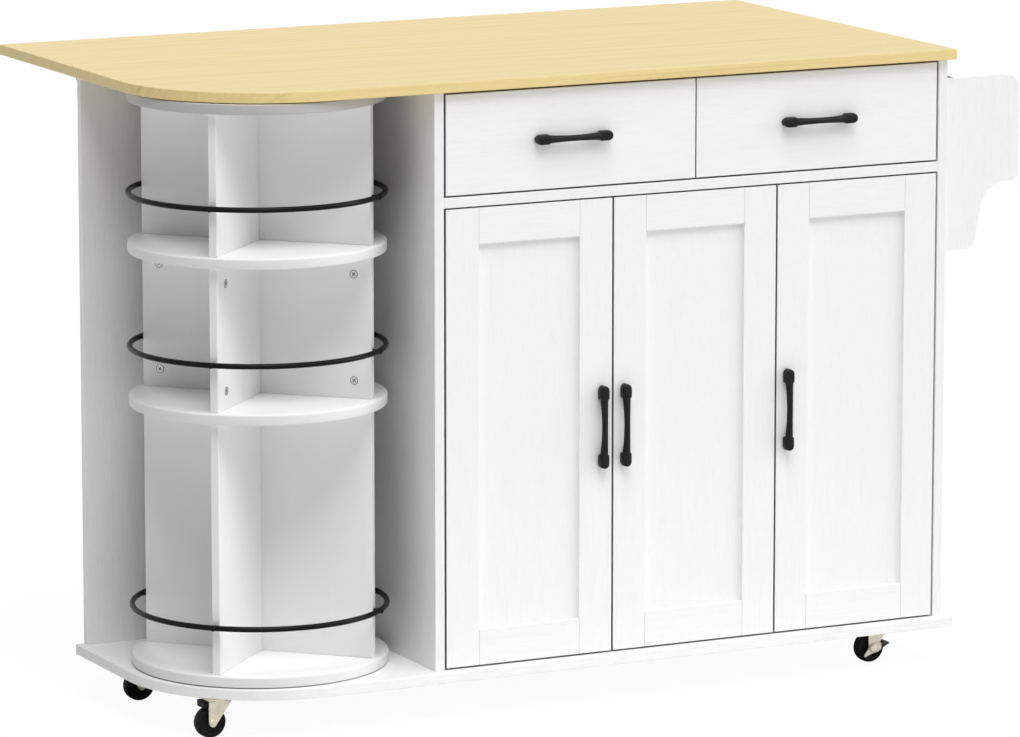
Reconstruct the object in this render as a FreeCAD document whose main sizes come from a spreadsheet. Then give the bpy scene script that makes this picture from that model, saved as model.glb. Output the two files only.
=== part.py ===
"""Drop leaf kitchen island: cabinet on casters, rotating shelf column, folding leaf and side rack.

All lengths are millimetres. The cabinet frame used by the calls below has x = 0 at the outer face of the
left side panel, y = 0 at the front of the side panels and z = 0 on top of the base plate. place() moves it to
the model frame, whose origin is on the floor under the middle of the whole island.
"""
import FreeCAD, Part
import math
import os
from types import SimpleNamespace

import Sketcher

doc = FreeCAD.newDocument("kitchen_island")

# ---------------------------------------------------------------------------------------------------------
# Driving dimensions
# ---------------------------------------------------------------------------------------------------------
DIMENSIONS = {
    # carcass
    "board": 15, "back_board": 12, "cabinet_width": 840, "cabinet_height": 838, "cabinet_depth": 396,
    "bay_width": 381, "edge_ease": 0.8, "rail_depth": 60, "partition_setback": 2,
    # base and top
    "base_left_overhang": 13, "base_right_overhang": 10, "base_front_overhang": 17.5,
    "top_overhang": 10, "corner_radius": 215, "seam_overhang": 12, "seam_gap": 0.8, "leaf_depth": 263,
    # doors
    "front_board": 15, "door_gap": 3.3, "door_lift": 2.8, "door_top_gap": 2.2, "stile_width": 52,
    "frame_face": 6, "rabbet": 6,
    # drawers
    "drawer_bay": 151.5, "drawer_lift": 2.6, "drawer_top_gap": 3.8, "drawer_gap": 2, "box_board": 12,
    "box_height": 105, "box_lift": 11, "box_back_gap": 34, "box_floor": 3, "groove_depth": 4,
    "groove_lift": 8,
    # drawer slides
    "slide_back_gap": 16, "slide_setback": 18, "slide_width": 12.7, "slide_height": 35, "slide_sheet": 1.2,
    "slide_lip": 10, "inner_height": 25, "inner_lip": 9,
    # pulls
    "pull_length": 121.5, "pull_reach": 14, "pull_end_length": 24, "pull_end_width": 14.8, "pull_waist": 4.4,
    "pull_shoulder": 5.8, "pull_bow": 1.6, "pull_round": 3, "pull_edge": 16.5,
    # door hinges
    "cup_radius": 17.5, "cup_depth": 11.3, "cup_edge": 22, "cup_wall": 1.2, "cup_wing": 56, "cup_fit": 0.2,
    "hinge_spread": 80, "arm_height": 14, "arm_rise": 10, "arm_length": 75, "arm_clear": 3.4, "arm_nose": 18,
    "plate_sheet": 2.5, "plate_length": 50, "plate_height": 32,
    # adjustable shelves
    "shelf_level": 330, "shelf_depth": 340, "shelf_play": 1, "pin_radius": 2.5, "pin_grip": 7,
    "pin_reach": 8, "pin_inset": 40, "pin_pitch": 64,
    # rotating column
    "turn_x": -195, "turn_y": 180, "disc_radius": 186, "disc_gap": 1.5, "lower_shelf": 380,
    "upper_shelf": 602.5, "cross_radius": 175, "cross_board": 12, "cross_angle": 45, "ring_radius": 184,
    "ring_tube": 4, "ring_lift": 70, "ring_peg": 3.5, "turn_pin": 5, "turn_fit": 0.08, "turn_pin_length": 12,
    "washer_radius": 35, "washer_play": 0.2,
    # folding leaf brackets
    "bracket_inset": 70, "bracket_sheet": 2, "bracket_drop": 14, "wall_flange": 18,
    "wall_foot": 250, "arm_reach": 190, "arm_web": 21, "arm_flange": 20, "strut_out": 150, "strut_down": 230,
    "strut_sheet": 2.5, "strut_half": 6, "sheet_gap": 0.5, "rivet": 3, "rivet_fit": 0.05, "rivet_head": 5,
    "rivet_cap": 1.5,
    # casters
    "wheel_radius": 22.5, "wheel_width": 17, "wheel_shoulder": 3, "hub_radius": 8, "hub_width": 18, "axle": 3,
    "axle_fit": 0.05, "axle_head": 5, "axle_cap": 2, "fork_width": 24, "fork_sheet": 2, "fork_rise": 31,
    "fork_back": 6, "fork_nose": 29.5, "trail": 12, "caster_height": 59, "plate_size": 45,
    "caster_sheet": 2, "kingpin": 4, "kingpin_fit": 0.08, "kingpin_head": 7, "race_radius": 14,
    "race_play": 0.3, "caster_left_inset": 78, "caster_right_inset": 88, "caster_depth_inset": 78,
    # brakes
    "pedal_pin": 1.5, "pedal_fit": 0.05, "pedal_half": 9.5, "pedal_pad_half": 12, "pedal_pin_out": 1,
    "pedal_pin_up": 26, "lever_sheet": 1.5, "lever_gap": 0.5, "toe_left": 14.5, "toe_right": 27.5,
    "toe_low": 4.5, "toe_high": 7.5, "toe_gap": 0.9, "toe_thick": 2.7,
    # side rack
    "rack_width": 126, "rack_height": 256, "rack_drop": 31, "rack_front": 5, "rack_foot": 52,
    "rack_foot_round": 14, "rack_neck": 61, "rack_neck_height": 55, "rack_sweep": 43, "rack_lip_round": 12,
    "rack_top_round": 20, "rack_shelf_lift": 104, "rack_shelf_board": 12, "rack_shelf_inset": 6,
    "guard_tube": 4, "guard_drop": 25, "guard_inset": 24, "towel_tube": 6, "towel_out": 26, "towel_lift": 24,
}

# Sides of the rounds that are faceted to keep the mesh light. The pins that things turn on are true rounds.
DISC_SIDES = 40
RING_SIDES = 28
WHEEL_SIDES = 20
ROD_SIDES = 12
SMALL_SIDES = 8
NUT_SIDES = 6

# Rows of shelf pin holes in each column.
HOLE_ROWS = 2

sheet = doc.addObject("Spreadsheet::Sheet", "Sizes")
for row, (alias, number) in enumerate(DIMENSIONS.items(), start=1):
    sheet.set(f"A{row}", alias)
    sheet.set(f"B{row}", str(number))
    sheet.setAlias(f"B{row}", alias)
doc.recompute()


class Size:
    """A number together with the sheet formula that it comes from."""

    def __init__(self, value, formula):
        self.value = value
        self.formula = formula

    def __add__(self, other):
        other = as_size(other)
        return Size(self.value + other.value, f"({self.formula} + {other.formula})")

    def __sub__(self, other):
        other = as_size(other)
        return Size(self.value - other.value, f"({self.formula} - {other.formula})")

    def __mul__(self, other):
        other = as_size(other)
        return Size(self.value * other.value, f"({self.formula} * {other.formula})")

    def __truediv__(self, other):
        other = as_size(other)
        return Size(self.value / other.value, f"({self.formula} / {other.formula})")

    def __radd__(self, other):
        return as_size(other) + self

    def __rsub__(self, other):
        return as_size(other) - self

    def __rmul__(self, other):
        return as_size(other) * self

    def __neg__(self):
        return Size(-self.value, f"(0 - {self.formula})")


def as_size(number):
    """A bare number as a size of its own."""
    if isinstance(number, Size):
        return number
    return Size(float(number), f"{float(number):.6f}")


def larger(first, second):
    """The larger of two sizes."""
    first, second = as_size(first), as_size(second)
    return Size(max(first.value, second.value), f"max({first.formula}; {second.formula})")


def hypotenuse(first, second):
    """The long side of a right triangle."""
    return Size(math.hypot(first.value, second.value), f"sqrt({first.formula}^2 + {second.formula}^2)")


def slope_angle(rise, run):
    """The angle in degrees whose tangent is rise over run."""
    degrees = math.degrees(math.atan2(rise.value, run.value))
    return Size(degrees, f"(atan2({rise.formula}; {run.formula}) / 1 deg)")


s = SimpleNamespace(**{alias: Size(float(sheet.get(alias)), f"Sizes.{alias}") for alias in DIMENSIONS})

# Places shared by several pieces, in the cabinet frame.
carcass_back = s.cabinet_depth - s.back_board
base_left = -s.bay_width - s.base_left_overhang
base_right = s.cabinet_width + s.base_right_overhang
top_left = -s.bay_width - s.top_overhang
top_right = s.cabinet_width + s.top_overhang
seam = s.cabinet_depth + s.seam_overhang
leaf_back = seam + s.leaf_depth
rack_right = s.cabinet_width + s.rack_width
deck_top = s.cabinet_height - s.drawer_bay
deck_bottom = deck_top - s.board
door_width = (s.cabinet_width - 2 * s.board - 4 * s.door_gap) / 3
door_height = deck_bottom - s.door_top_gap - s.door_lift
door_pitch = door_width + s.door_gap
door_left = [s.board + s.door_gap + index * door_pitch for index in range(3)]
partition_middle = door_left[2] - s.door_gap / 2
divider_middle = s.cabinet_width / 2
pivot_y = seam
pivot_z = s.cabinet_height - s.bracket_drop

# The model frame's origin is on the floor, midway along each side of the whole island.
origin_x = (rack_right + base_left) / 2
origin_y = (leaf_back - larger(s.pull_reach, s.base_front_overhang)) / 2
origin_z = -(s.board + s.caster_height)

nodes = {}


# ---------------------------------------------------------------------------------------------------------
# Building helpers
# ---------------------------------------------------------------------------------------------------------
def bind(obj, **values):
    """Tie properties of an object to sizes."""
    for name, size in values.items():
        obj.setExpression(name, as_size(size).formula)


def place(obj, x, y, z, axis=None, angle=0):
    """Turn an object about an axis, then put its own origin at a point of the cabinet frame."""
    if axis is not None:
        turn = FreeCAD.Rotation(FreeCAD.Vector(*axis), as_size(angle).value)
        obj.Placement = FreeCAD.Placement(FreeCAD.Vector(), turn)
        if isinstance(angle, Size):
            obj.setExpression("Placement.Rotation.Angle", angle.formula)
    obj.setExpression("Placement.Base.x", (as_size(x) - origin_x).formula)
    obj.setExpression("Placement.Base.y", (as_size(y) - origin_y).formula)
    obj.setExpression("Placement.Base.z", (as_size(z) - origin_z).formula)
    return obj


def new_body(label):
    """An empty body with its label."""
    body = doc.addObject("PartDesign::Body", label)
    body.Label = label
    return body


def node(obj, label=None):
    """Keep an object as a node of the model; its label names its file."""
    if label:
        obj.Label = label
    nodes[obj.Label] = obj
    return obj


def group(label, pieces):
    """Several like pieces as one node of separate solids."""
    compound = doc.addObject("Part::Compound", label)
    compound.Links = pieces
    return node(compound, label)


def new_sketch(body, plane, offset=0):
    """A sketch on one of the body's own origin planes, moved along the plane's normal."""
    sketch = body.newObject("Sketcher::SketchObject", body.Label + "_sketch")
    support = [item for item in body.Origin.OriginFeatures if item.Role == plane][0]
    sketch.AttachmentSupport = [(support, "")]
    sketch.MapMode = "FlatFace"
    if as_size(offset).value != 0:
        sketch.setExpression("AttachmentOffset.Base.z", as_size(offset).formula)
    return sketch


def pin_point(sketch, geometry, position, x, y):
    """Hold one point of a sketch at sizes from the sketch's origin."""
    for kind, axis, size in (("DistanceX", -2, as_size(x)), ("DistanceY", -1, as_size(y))):
        if size.formula == as_size(0).formula:
            sketch.addConstraint(Sketcher.Constraint("PointOnObject", geometry, position, axis))
        else:
            index = sketch.addConstraint(Sketcher.Constraint(kind, geometry, position, size.value))
            sketch.setExpression(f"Constraints[{index}]", size.formula)


def outline(sketch, start, *steps):
    """A closed outline. Each step is (x, y) for a straight edge or (x, y, radius, turn) for an arc.

    turn is +1 where the arc turns left and -1 where it turns right, going round the outline.
    """
    corners = [tuple(as_size(value) for value in start)]
    first = sketch.GeometryCount
    for step in steps:
        x, y = as_size(step[0]), as_size(step[1])
        begin = FreeCAD.Vector(corners[-1][0].value, corners[-1][1].value, 0)
        end = FreeCAD.Vector(x.value, y.value, 0)
        if len(step) == 2:
            sketch.addGeometry(Part.LineSegment(begin, end), False)
        else:
            radius, turn = as_size(step[2]), step[3]
            chord = end - begin
            rise = math.sqrt(max(radius.value ** 2 - (chord.Length / 2) ** 2, 0))
            left = FreeCAD.Vector(-chord.y, chord.x, 0).normalize()
            middle = begin + chord / 2
            crest = middle - left * turn * (radius.value - rise)
            sketch.addGeometry(Part.Arc(begin, crest, end), False)
            index = sketch.addConstraint(
                Sketcher.Constraint("Radius", sketch.GeometryCount - 1, radius.value))
            sketch.setExpression(f"Constraints[{index}]", radius.formula)
        corners.append((x, y))
    count = sketch.GeometryCount - first
    tails = []
    for item in range(count):
        # An arc keeps its ends anticlockwise, so one that turns right begins at its second end.
        begin = FreeCAD.Vector(corners[item][0].value, corners[item][1].value, 0)
        starts_at_one = (sketch.getPoint(first + item, 1) - begin).Length < 1e-6
        tails.append((1, 2) if starts_at_one else (2, 1))
    for item in range(count):
        following = (item + 1) % count
        sketch.addConstraint(Sketcher.Constraint(
            "Coincident", first + item, tails[item][1], first + following, tails[following][0]))
        pin_point(sketch, first + item, tails[item][0], *corners[item])
    return sketch


def rectangle(sketch, left, low, right, high):
    """A rectangle between two corners."""
    return outline(sketch, (left, low), (right, low), (right, high), (left, high), (left, low))


def pad(body, sketch, length, reverse=False):
    """Raise a sketch to a solid along its plane's normal, or against it."""
    feature = body.newObject("PartDesign::Pad", body.Label + "_pad")
    feature.Profile = sketch
    feature.Reversed = reverse
    bind(feature, Length=length)
    sketch.Visibility = False
    return feature


def pocket(body, sketch, length, reverse=False, through=False):
    """Cut a sketch out of a body."""
    feature = body.newObject("PartDesign::Pocket", body.Label + "_pocket")
    feature.Profile = sketch
    feature.Reversed = reverse
    if through:
        feature.Type = "ThroughAll"
    else:
        bind(feature, Length=length)
    return feature


def ease_edges(body, size=s.edge_ease):
    """A small chamfer on every edge of the body so far."""
    doc.recompute()
    shaped = body.Tip
    feature = body.newObject("PartDesign::Chamfer", body.Label + "_eased")
    feature.Base = (shaped, [])
    feature.UseAllEdges = True
    bind(feature, Size=size)
    return feature


def ease_rims(body, axis, size):
    """A chamfer on the edges of the body so far that lie square to an axis."""
    doc.recompute()
    shaped = body.Tip
    rims = []
    for index, edge in enumerate(shaped.Shape.Edges):
        along = edge.Vertexes[-1].Point - edge.Vertexes[0].Point
        if abs(along.dot(FreeCAD.Vector(*axis))) < 1e-6:
            rims.append(f"Edge{index + 1}")
    feature = body.newObject("PartDesign::Chamfer", body.Label + "_rims")
    feature.Base = (shaped, rims)
    bind(feature, Size=size)
    return feature


AXIS_TURNS = {"X": ((0, 1, 0), 90), "Y": ((1, 0, 0), -90), "Z": ((0, 0, 1), 0)}


def primitive(body, shape, at, along, cut, **sizes):
    """A primitive added to a body or cut from it, which starts at a point and runs along an axis."""
    way = "Subtractive" if cut else "Additive"
    feature = body.newObject(f"PartDesign::{way}{shape}", body.Label + "_round")
    bind(feature, **sizes)
    axis, angle = AXIS_TURNS[along]
    feature.Placement = FreeCAD.Placement(FreeCAD.Vector(), FreeCAD.Rotation(FreeCAD.Vector(*axis), angle))
    for letter, size in zip("xyz", at):
        if as_size(size).value != 0:
            feature.setExpression(f"Placement.Base.{letter}", as_size(size).formula)
    return feature


def cylinder(body, radius, length, at=(0, 0, 0), along="Z"):
    """A true round, for the pins and axles that things turn on."""
    return primitive(body, "Cylinder", at, along, False, Radius=radius, Height=length)


def prism(body, radius, length, sides, at=(0, 0, 0), along="Z", cut=False):
    """A round of flat sides, with its corners at the radius."""
    feature = primitive(body, "Prism", at, along, cut, Circumradius=radius, Height=length)
    feature.Polygon = sides
    return feature


def bore(body, radius, length, at=(0, 0, 0), along="Z"):
    """A hole of flat sides that a round pin of the radius just fills."""
    return prism(body, radius / math.cos(math.pi / SMALL_SIDES), length, SMALL_SIDES, at, along, cut=True)


def arc_points(x, y, radius, first, last, count):
    """Evenly spaced points on an arc about (x, y), from the first angle to the last, in degrees."""
    angles = [math.radians(first + (last - first) * step / count) for step in range(count + 1)]
    return [(x + radius * math.cos(angle), y + radius * math.sin(angle)) for angle in angles]


def board(label, x, y, z, length, width, height, eased=True):
    """A rectangular board with eased edges, placed by its low corner."""
    body = new_body(label)
    block = body.newObject("PartDesign::AdditiveBox", label + "_block")
    bind(block, Length=length, Width=width, Height=height)
    if eased:
        ease_edges(body)
    return place(body, x, y, z)


# ---------------------------------------------------------------------------------------------------------
# Carcass
# ---------------------------------------------------------------------------------------------------------
def rounded_panel(label, left, front, right, back, level):
    """A horizontal panel with one large rounded corner at its front left."""
    body = new_body(label)
    radius = s.corner_radius
    sketch = outline(
        new_sketch(body, "XY_Plane"),
        (radius, 0),
        (right - left, 0),
        (right - left, back - front),
        (0, back - front),
        (0, radius),
        (radius, 0, radius, 1),
    )
    pad(body, sketch, s.board)
    ease_edges(body)
    return place(body, left, front, level)


base = rounded_panel("base_plate", base_left, -s.base_front_overhang, base_right, s.cabinet_depth, -s.board)
prism(base, s.turn_pin, s.turn_pin_length, SMALL_SIDES, cut=True,
      at=(s.turn_x - base_left, s.turn_y + s.base_front_overhang, s.board - s.turn_pin_length))
node(base)

fixed_top = rounded_panel("fixed_top", top_left, -s.top_overhang, top_right, seam - s.seam_gap / 2,
                          s.cabinet_height)
prism(fixed_top, s.turn_pin, s.turn_pin_length, SMALL_SIDES, cut=True,
      at=(s.turn_x - top_left, s.turn_y + s.top_overhang, 0))
node(fixed_top)


def side_panel(label, x, hole_side):
    """An upright side panel; hole_side is +1 where its shelf pin holes face right and -1 where left."""
    body = board(label, x, 0, 0, s.board, carcass_back, s.cabinet_height)
    bore_shelf_holes(body, hole_side, 0)
    return node(body)


def bore_shelf_holes(body, hole_side, setback):
    """Two columns of shelf pin holes in one face of a panel, with the shelf's own row as the lowest."""
    start = s.board - s.pin_grip if hole_side > 0 else as_size(0)
    for column in (s.pin_inset, s.shelf_depth - s.pin_inset):
        y = carcass_back - s.shelf_depth + column - setback
        for row in range(HOLE_ROWS):
            level = s.shelf_level - s.pin_radius + row * s.pin_pitch
            prism(body, s.pin_radius, s.pin_grip, SMALL_SIDES, at=(start, y, level), along="X", cut=True)


side_panel("left_side_panel", 0, 1)
side_panel("right_side_panel", s.cabinet_width - s.board, -1)
node(board("bay_back_panel", -s.bay_width, carcass_back, 0, s.bay_width, s.back_board, s.cabinet_height))
node(board("cabinet_back_panel", 0, carcass_back, 0, s.cabinet_width, s.back_board, s.cabinet_height))

partition_front = s.front_board + s.partition_setback
partition = board("partition_panel", partition_middle - s.board / 2, partition_front, 0, s.board,
                  carcass_back - partition_front, deck_bottom)
bore_shelf_holes(partition, -1, partition_front)
bore_shelf_holes(partition, 1, partition_front)
node(partition)

node(board("drawer_deck", s.board, 0, deck_bottom, s.cabinet_width - 2 * s.board, carcass_back, s.board))
rail_level = s.cabinet_height - s.board
node(board("drawer_divider", divider_middle - s.board / 2, partition_front, deck_top, s.board,
           carcass_back - partition_front, rail_level - deck_top))
group("top_rails", [
    board("front_rail", s.board, partition_front, rail_level, s.cabinet_width - 2 * s.board, s.rail_depth,
          s.board),
    board("back_rail", s.board, carcass_back - s.rail_depth, rail_level, s.cabinet_width - 2 * s.board,
          s.rail_depth, s.board),
])

# Adjustable shelves, each on four pins.
compartments = {
    "wide": (s.board, partition_middle - s.board / 2),
    "narrow": (partition_middle + s.board / 2, s.cabinet_width - s.board),
}
group("cabinet_shelves", [
    board(f"{name}_shelf", left + s.shelf_play, carcass_back - s.shelf_depth, s.shelf_level,
          right - left - 2 * s.shelf_play, s.shelf_depth - s.shelf_play, s.board)
    for name, (left, right) in compartments.items()
])


def shelf_pin(label, x, y, side):
    """A shelf pin: a shank in the panel and a stub under the shelf."""
    body = new_body(label)
    prism(body, s.pin_radius, s.pin_grip + s.pin_reach, SMALL_SIDES, at=(0, 0, -s.pin_grip))
    return place(body, x, y, s.shelf_level - s.pin_radius, (0, 1, 0), 90 * side)


pins = []
for name, (left, right) in compartments.items():
    for x, side in ((left, 1), (right, -1)):
        for column in (s.pin_inset, s.shelf_depth - s.pin_inset):
            y = carcass_back - s.shelf_depth + column
            pins.append(shelf_pin(f"pin_{len(pins) + 1}", x, y, side))
group("shelf_pins", pins)


# ---------------------------------------------------------------------------------------------------------
# Rotating column
# ---------------------------------------------------------------------------------------------------------
def disc(label, level, hole_start=None):
    """A round board of the column; hole_start is the level at which a pivot's blind hole starts in it."""
    body = new_body(label)
    prism(body, s.disc_radius, s.board, DISC_SIDES)
    ease_rims(body, (0, 0, 1), s.edge_ease)
    if hole_start is not None:
        bore(body, s.turn_pin + s.turn_fit, pivot_hole_depth, at=(0, 0, hole_start))
    return node(place(body, s.turn_x, s.turn_y, level))


pivot_hole_depth = s.turn_pin_length + s.turn_fit
top_disc_level = s.cabinet_height - s.disc_gap - s.board
disc("turntable_bottom_disc", s.disc_gap, hole_start=0)
disc("turntable_lower_shelf", s.lower_shelf)
disc("turntable_upper_shelf", s.upper_shelf)
disc("turntable_top_disc", top_disc_level, hole_start=s.board - pivot_hole_depth)

tiers = {
    "lower": (s.disc_gap + s.board, s.lower_shelf),
    "middle": (s.lower_shelf + s.board, s.upper_shelf),
    "upper": (s.upper_shelf + s.board, top_disc_level),
}


def cross(tier, floor, ceiling):
    """One tier's cross: a long panel over the axis and a half panel on each side of it."""
    height = ceiling - floor
    half_length = s.cross_radius - s.cross_board / 2
    pieces = []
    for name, start, length, turn in (
        ("long", -s.cross_radius, 2 * s.cross_radius, -s.cross_angle),
        ("right_half", s.cross_board / 2, half_length, 90 - s.cross_angle),
        ("left_half", s.cross_board / 2, half_length, 270 - s.cross_angle),
    ):
        body = new_body(f"{tier}_{name}")
        block = body.newObject("PartDesign::AdditiveBox", body.Label + "_block")
        bind(block, Length=length, Width=s.cross_board, Height=height)
        block.setExpression("Placement.Base.x", as_size(start).formula)
        block.setExpression("Placement.Base.y", (-s.cross_board / 2).formula)
        ease_edges(body)
        pieces.append(place(body, s.turn_x, s.turn_y, floor, (0, 0, 1), turn))
    return group(f"{tier}_tier_cross", pieces)


def guard_ring(tier, floor):
    """A round tube ring outside the arms' ends, with four pegs that hold it to them."""
    body = new_body(f"{tier}_ring")
    prism(body, s.ring_radius + s.ring_tube, 2 * s.ring_tube, RING_SIDES, at=(0, 0, -s.ring_tube))
    prism(body, s.ring_radius - s.ring_tube, 2 * s.ring_tube, RING_SIDES, at=(0, 0, -s.ring_tube), cut=True)
    # The chamfer that makes a square section a regular octagon.
    ease_rims(body, (0, 0, 1), s.ring_tube * (2 - math.sqrt(2)))
    reach = s.ring_radius - s.cross_radius
    for start in (s.cross_radius, -s.ring_radius):
        prism(body, s.ring_peg, reach, NUT_SIDES, at=(start, 0, 0), along="X")
        prism(body, s.ring_peg, reach, NUT_SIDES, at=(0, start, 0), along="Y")
    return place(body, s.turn_x, s.turn_y, floor + s.ring_lift, (0, 0, 1), s.cross_angle)


for tier, (floor, ceiling) in tiers.items():
    cross(tier, floor, ceiling)
group("guard_rings", [guard_ring(tier, floor) for tier, (floor, ceiling) in tiers.items()])


def turntable_pivot(label, level, turn):
    """A round steel pin with a thrust washer round it and a faceted root, which is set in the fixed panel."""
    body = new_body(label)
    cylinder(body, s.turn_pin, s.disc_gap + s.turn_pin_length)
    prism(body, s.washer_radius, s.disc_gap - s.washer_play, WHEEL_SIDES)
    prism(body, s.turn_pin, s.turn_pin_length, SMALL_SIDES, at=(0, 0, -s.turn_pin_length))
    return place(body, s.turn_x, s.turn_y, level, (1, 0, 0), turn)


group("turntable_pivots", [
    turntable_pivot("bottom_pivot", 0, 0),
    turntable_pivot("top_pivot", s.cabinet_height, 180),
])


# ---------------------------------------------------------------------------------------------------------
# Drop leaf and its folding brackets
# ---------------------------------------------------------------------------------------------------------
node(board("drop_leaf", top_left, seam + s.seam_gap / 2, s.cabinet_height, top_right - top_left,
           s.leaf_depth - s.seam_gap / 2, s.board))

bracket_lefts = (top_left + s.bracket_inset, top_right - s.bracket_inset)
# Sheets of a bracket stack along X: wall web, arm web, upper link, lower link.
arm_plane = s.bracket_sheet + s.sheet_gap
upper_plane = arm_plane + s.bracket_sheet + s.sheet_gap
lower_plane = upper_plane + s.strut_sheet + s.sheet_gap
stack_end = lower_plane + s.strut_sheet + s.sheet_gap
strut_length = hypotenuse(s.strut_out, s.strut_down)
lower_length = (strut_length + s.strut_down - s.strut_out) / 2
upper_length = strut_length - lower_length
strut_lean = slope_angle(s.strut_out, s.strut_down)


def rivet(body, start, end, y, z, head=True):
    """A rivet of a bracket, along X between two planes, with a head past its end."""
    cylinder(body, s.rivet, end - start, at=(start, y, z), along="X")
    if head:
        prism(body, s.rivet_head, s.rivet_cap, SMALL_SIDES, at=(end, y, z), along="X")


def wall_plate(label, x):
    """An angle screwed to the back panel. Its web carries the arm's pivot and the lower link's pivot."""
    body = new_body(label)
    back_face = s.cabinet_depth - pivot_y
    web = outline(
        new_sketch(body, "YZ_Plane"),
        (back_face, -s.wall_foot),
        (s.strut_half - s.rivet, -s.wall_foot),
        (s.strut_half, -s.wall_foot + s.rivet),
        (s.strut_half, s.strut_half),
        (s.strut_half - s.rivet, s.strut_half + s.rivet),
        (back_face, s.strut_half + s.rivet),
        (back_face, -s.wall_foot),
    )
    pad(body, web, s.bracket_sheet)
    flange = rectangle(new_sketch(body, "YZ_Plane"), back_face, -s.wall_foot, back_face + s.bracket_sheet,
                       s.strut_half + s.rivet)
    pad(body, flange, s.wall_flange, reverse=True)
    rivet(body, s.bracket_sheet, upper_plane, 0, 0)
    rivet(body, s.bracket_sheet, stack_end, 0, -s.strut_down)
    return place(body, x, pivot_y, pivot_z)


def bracket_arm(label, x):
    """An angle under the leaf, whose web narrows towards its free end and carries the upper link's pivot."""
    body = new_body(label)
    flange_low = s.bracket_drop - s.bracket_sheet
    web_low = s.bracket_drop - s.arm_web
    web = outline(
        new_sketch(body, "YZ_Plane", arm_plane),
        (0, web_low),
        (s.strut_out, web_low),
        (s.arm_reach, flange_low - s.rivet),
        (s.arm_reach, s.bracket_drop),
        (0, s.bracket_drop),
        *arc_points(as_size(0), s.bracket_drop - s.arm_web / 2, s.arm_web / 2, 120, 270, 5),
    )
    pad(body, web, s.bracket_sheet)
    bore(body, s.rivet + s.rivet_fit, s.bracket_sheet, at=(arm_plane, 0, 0), along="X")
    flange = rectangle(new_sketch(body, "YZ_Plane", arm_plane), s.bracket_sheet, flange_low, s.arm_reach,
                       s.bracket_drop)
    pad(body, flange, s.arm_flange)
    rivet(body, arm_plane + s.bracket_sheet, lower_plane - s.sheet_gap / 2, s.strut_out, 0, head=False)
    return place(body, x, pivot_y, pivot_z)


def strut(label, x, plane, length, y, z, lean, knee_head):
    """A flat link with round ends and a hole at its root; knee_head adds the head of the knee's rivet."""
    body = new_body(label)
    half = s.strut_half
    root = arc_points(as_size(0), as_size(0), half, 180, 360, 6)
    tip = arc_points(as_size(0), length, half, 0, 180, 6)
    sketch = outline(new_sketch(body, "YZ_Plane"), *root, *tip, root[0])
    pad(body, sketch, s.strut_sheet)
    bore(body, s.rivet + s.rivet_fit, s.strut_sheet, along="X")
    if knee_head:
        prism(body, s.rivet_head, s.rivet_cap, SMALL_SIDES, at=(s.strut_sheet, 0, length), along="X")
    return place(body, x + plane, y, z, (1, 0, 0), lean)


group("bracket_wall_plates", [wall_plate(f"wall_plate_{i}", x) for i, x in enumerate(bracket_lefts)])
group("bracket_arms", [bracket_arm(f"bracket_arm_{i}", x) for i, x in enumerate(bracket_lefts)])
group("bracket_lower_links", [
    strut(f"lower_link_{i}", x, lower_plane, lower_length, pivot_y, pivot_z - s.strut_down, -strut_lean,
          True)
    for i, x in enumerate(bracket_lefts)
])
group("bracket_upper_links", [
    strut(f"upper_link_{i}", x, upper_plane, upper_length, pivot_y + s.strut_out, pivot_z, 180 - strut_lean,
          False)
    for i, x in enumerate(bracket_lefts)
])


# ---------------------------------------------------------------------------------------------------------
# Pulls
# ---------------------------------------------------------------------------------------------------------
def pull(label, x, z, upright):
    """A black pull: two rounded ends on the front and a waisted bar that bows out a little between them."""
    body = new_body(label)
    half_width = s.pull_end_width / 2
    straight = (s.pull_end_length - s.pull_end_width) / 2
    middle = (s.pull_length - s.pull_end_length) / 2
    right = arc_points(middle + straight, as_size(0), half_width, -90, 90, 4)
    left = arc_points(middle - straight, as_size(0), half_width, 90, 270, 4)
    end = outline(new_sketch(body, "XZ_Plane"), *right, *left, right[0])
    foot = pad(body, end, s.pull_reach)
    doc.recompute()
    feet = body.newObject("PartDesign::Mirrored", body.Label + "_feet")
    feet.Originals = [foot]
    feet.MirrorPlane = (end, ["V_Axis"])
    body.Tip = feet
    doc.recompute()
    front = [
        f"Edge{index + 1}"
        for index, edge in enumerate(feet.Shape.Edges)
        if edge.BoundBox.YMax < -s.pull_reach.value + 1e-3
    ]
    rounding = body.newObject("PartDesign::Chamfer", body.Label + "_round")
    rounding.Base = (feet, front)
    bind(rounding, Size=s.pull_round)
    # The bar goes from shoulder to waist to shoulder, in two tapers, flush with the ends at its shoulders.
    shoulder_depth = s.pull_reach - s.pull_shoulder
    waist_depth = s.pull_reach + s.pull_bow - s.pull_waist
    sections = []
    for offset, depth, radius in (
        (-middle, shoulder_depth, s.pull_shoulder),
        (as_size(0), waist_depth, s.pull_waist),
        (middle, shoulder_depth, s.pull_shoulder),
    ):
        ring = arc_points(-depth, as_size(0), radius, 0, 360 - 360 / SMALL_SIDES, SMALL_SIDES - 1)
        sections.append(outline(new_sketch(body, "YZ_Plane", offset), *ring, ring[0]))
    bar = body.newObject("PartDesign::AdditiveLoft", body.Label + "_bar")
    bar.Profile = sections[0]
    bar.Sections = sections[1:]
    bar.Ruled = True
    if upright:
        place(body, x, 0, z, (0, 1, 0), 90)
    else:
        place(body, x, 0, z)
    return node(body)


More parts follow.
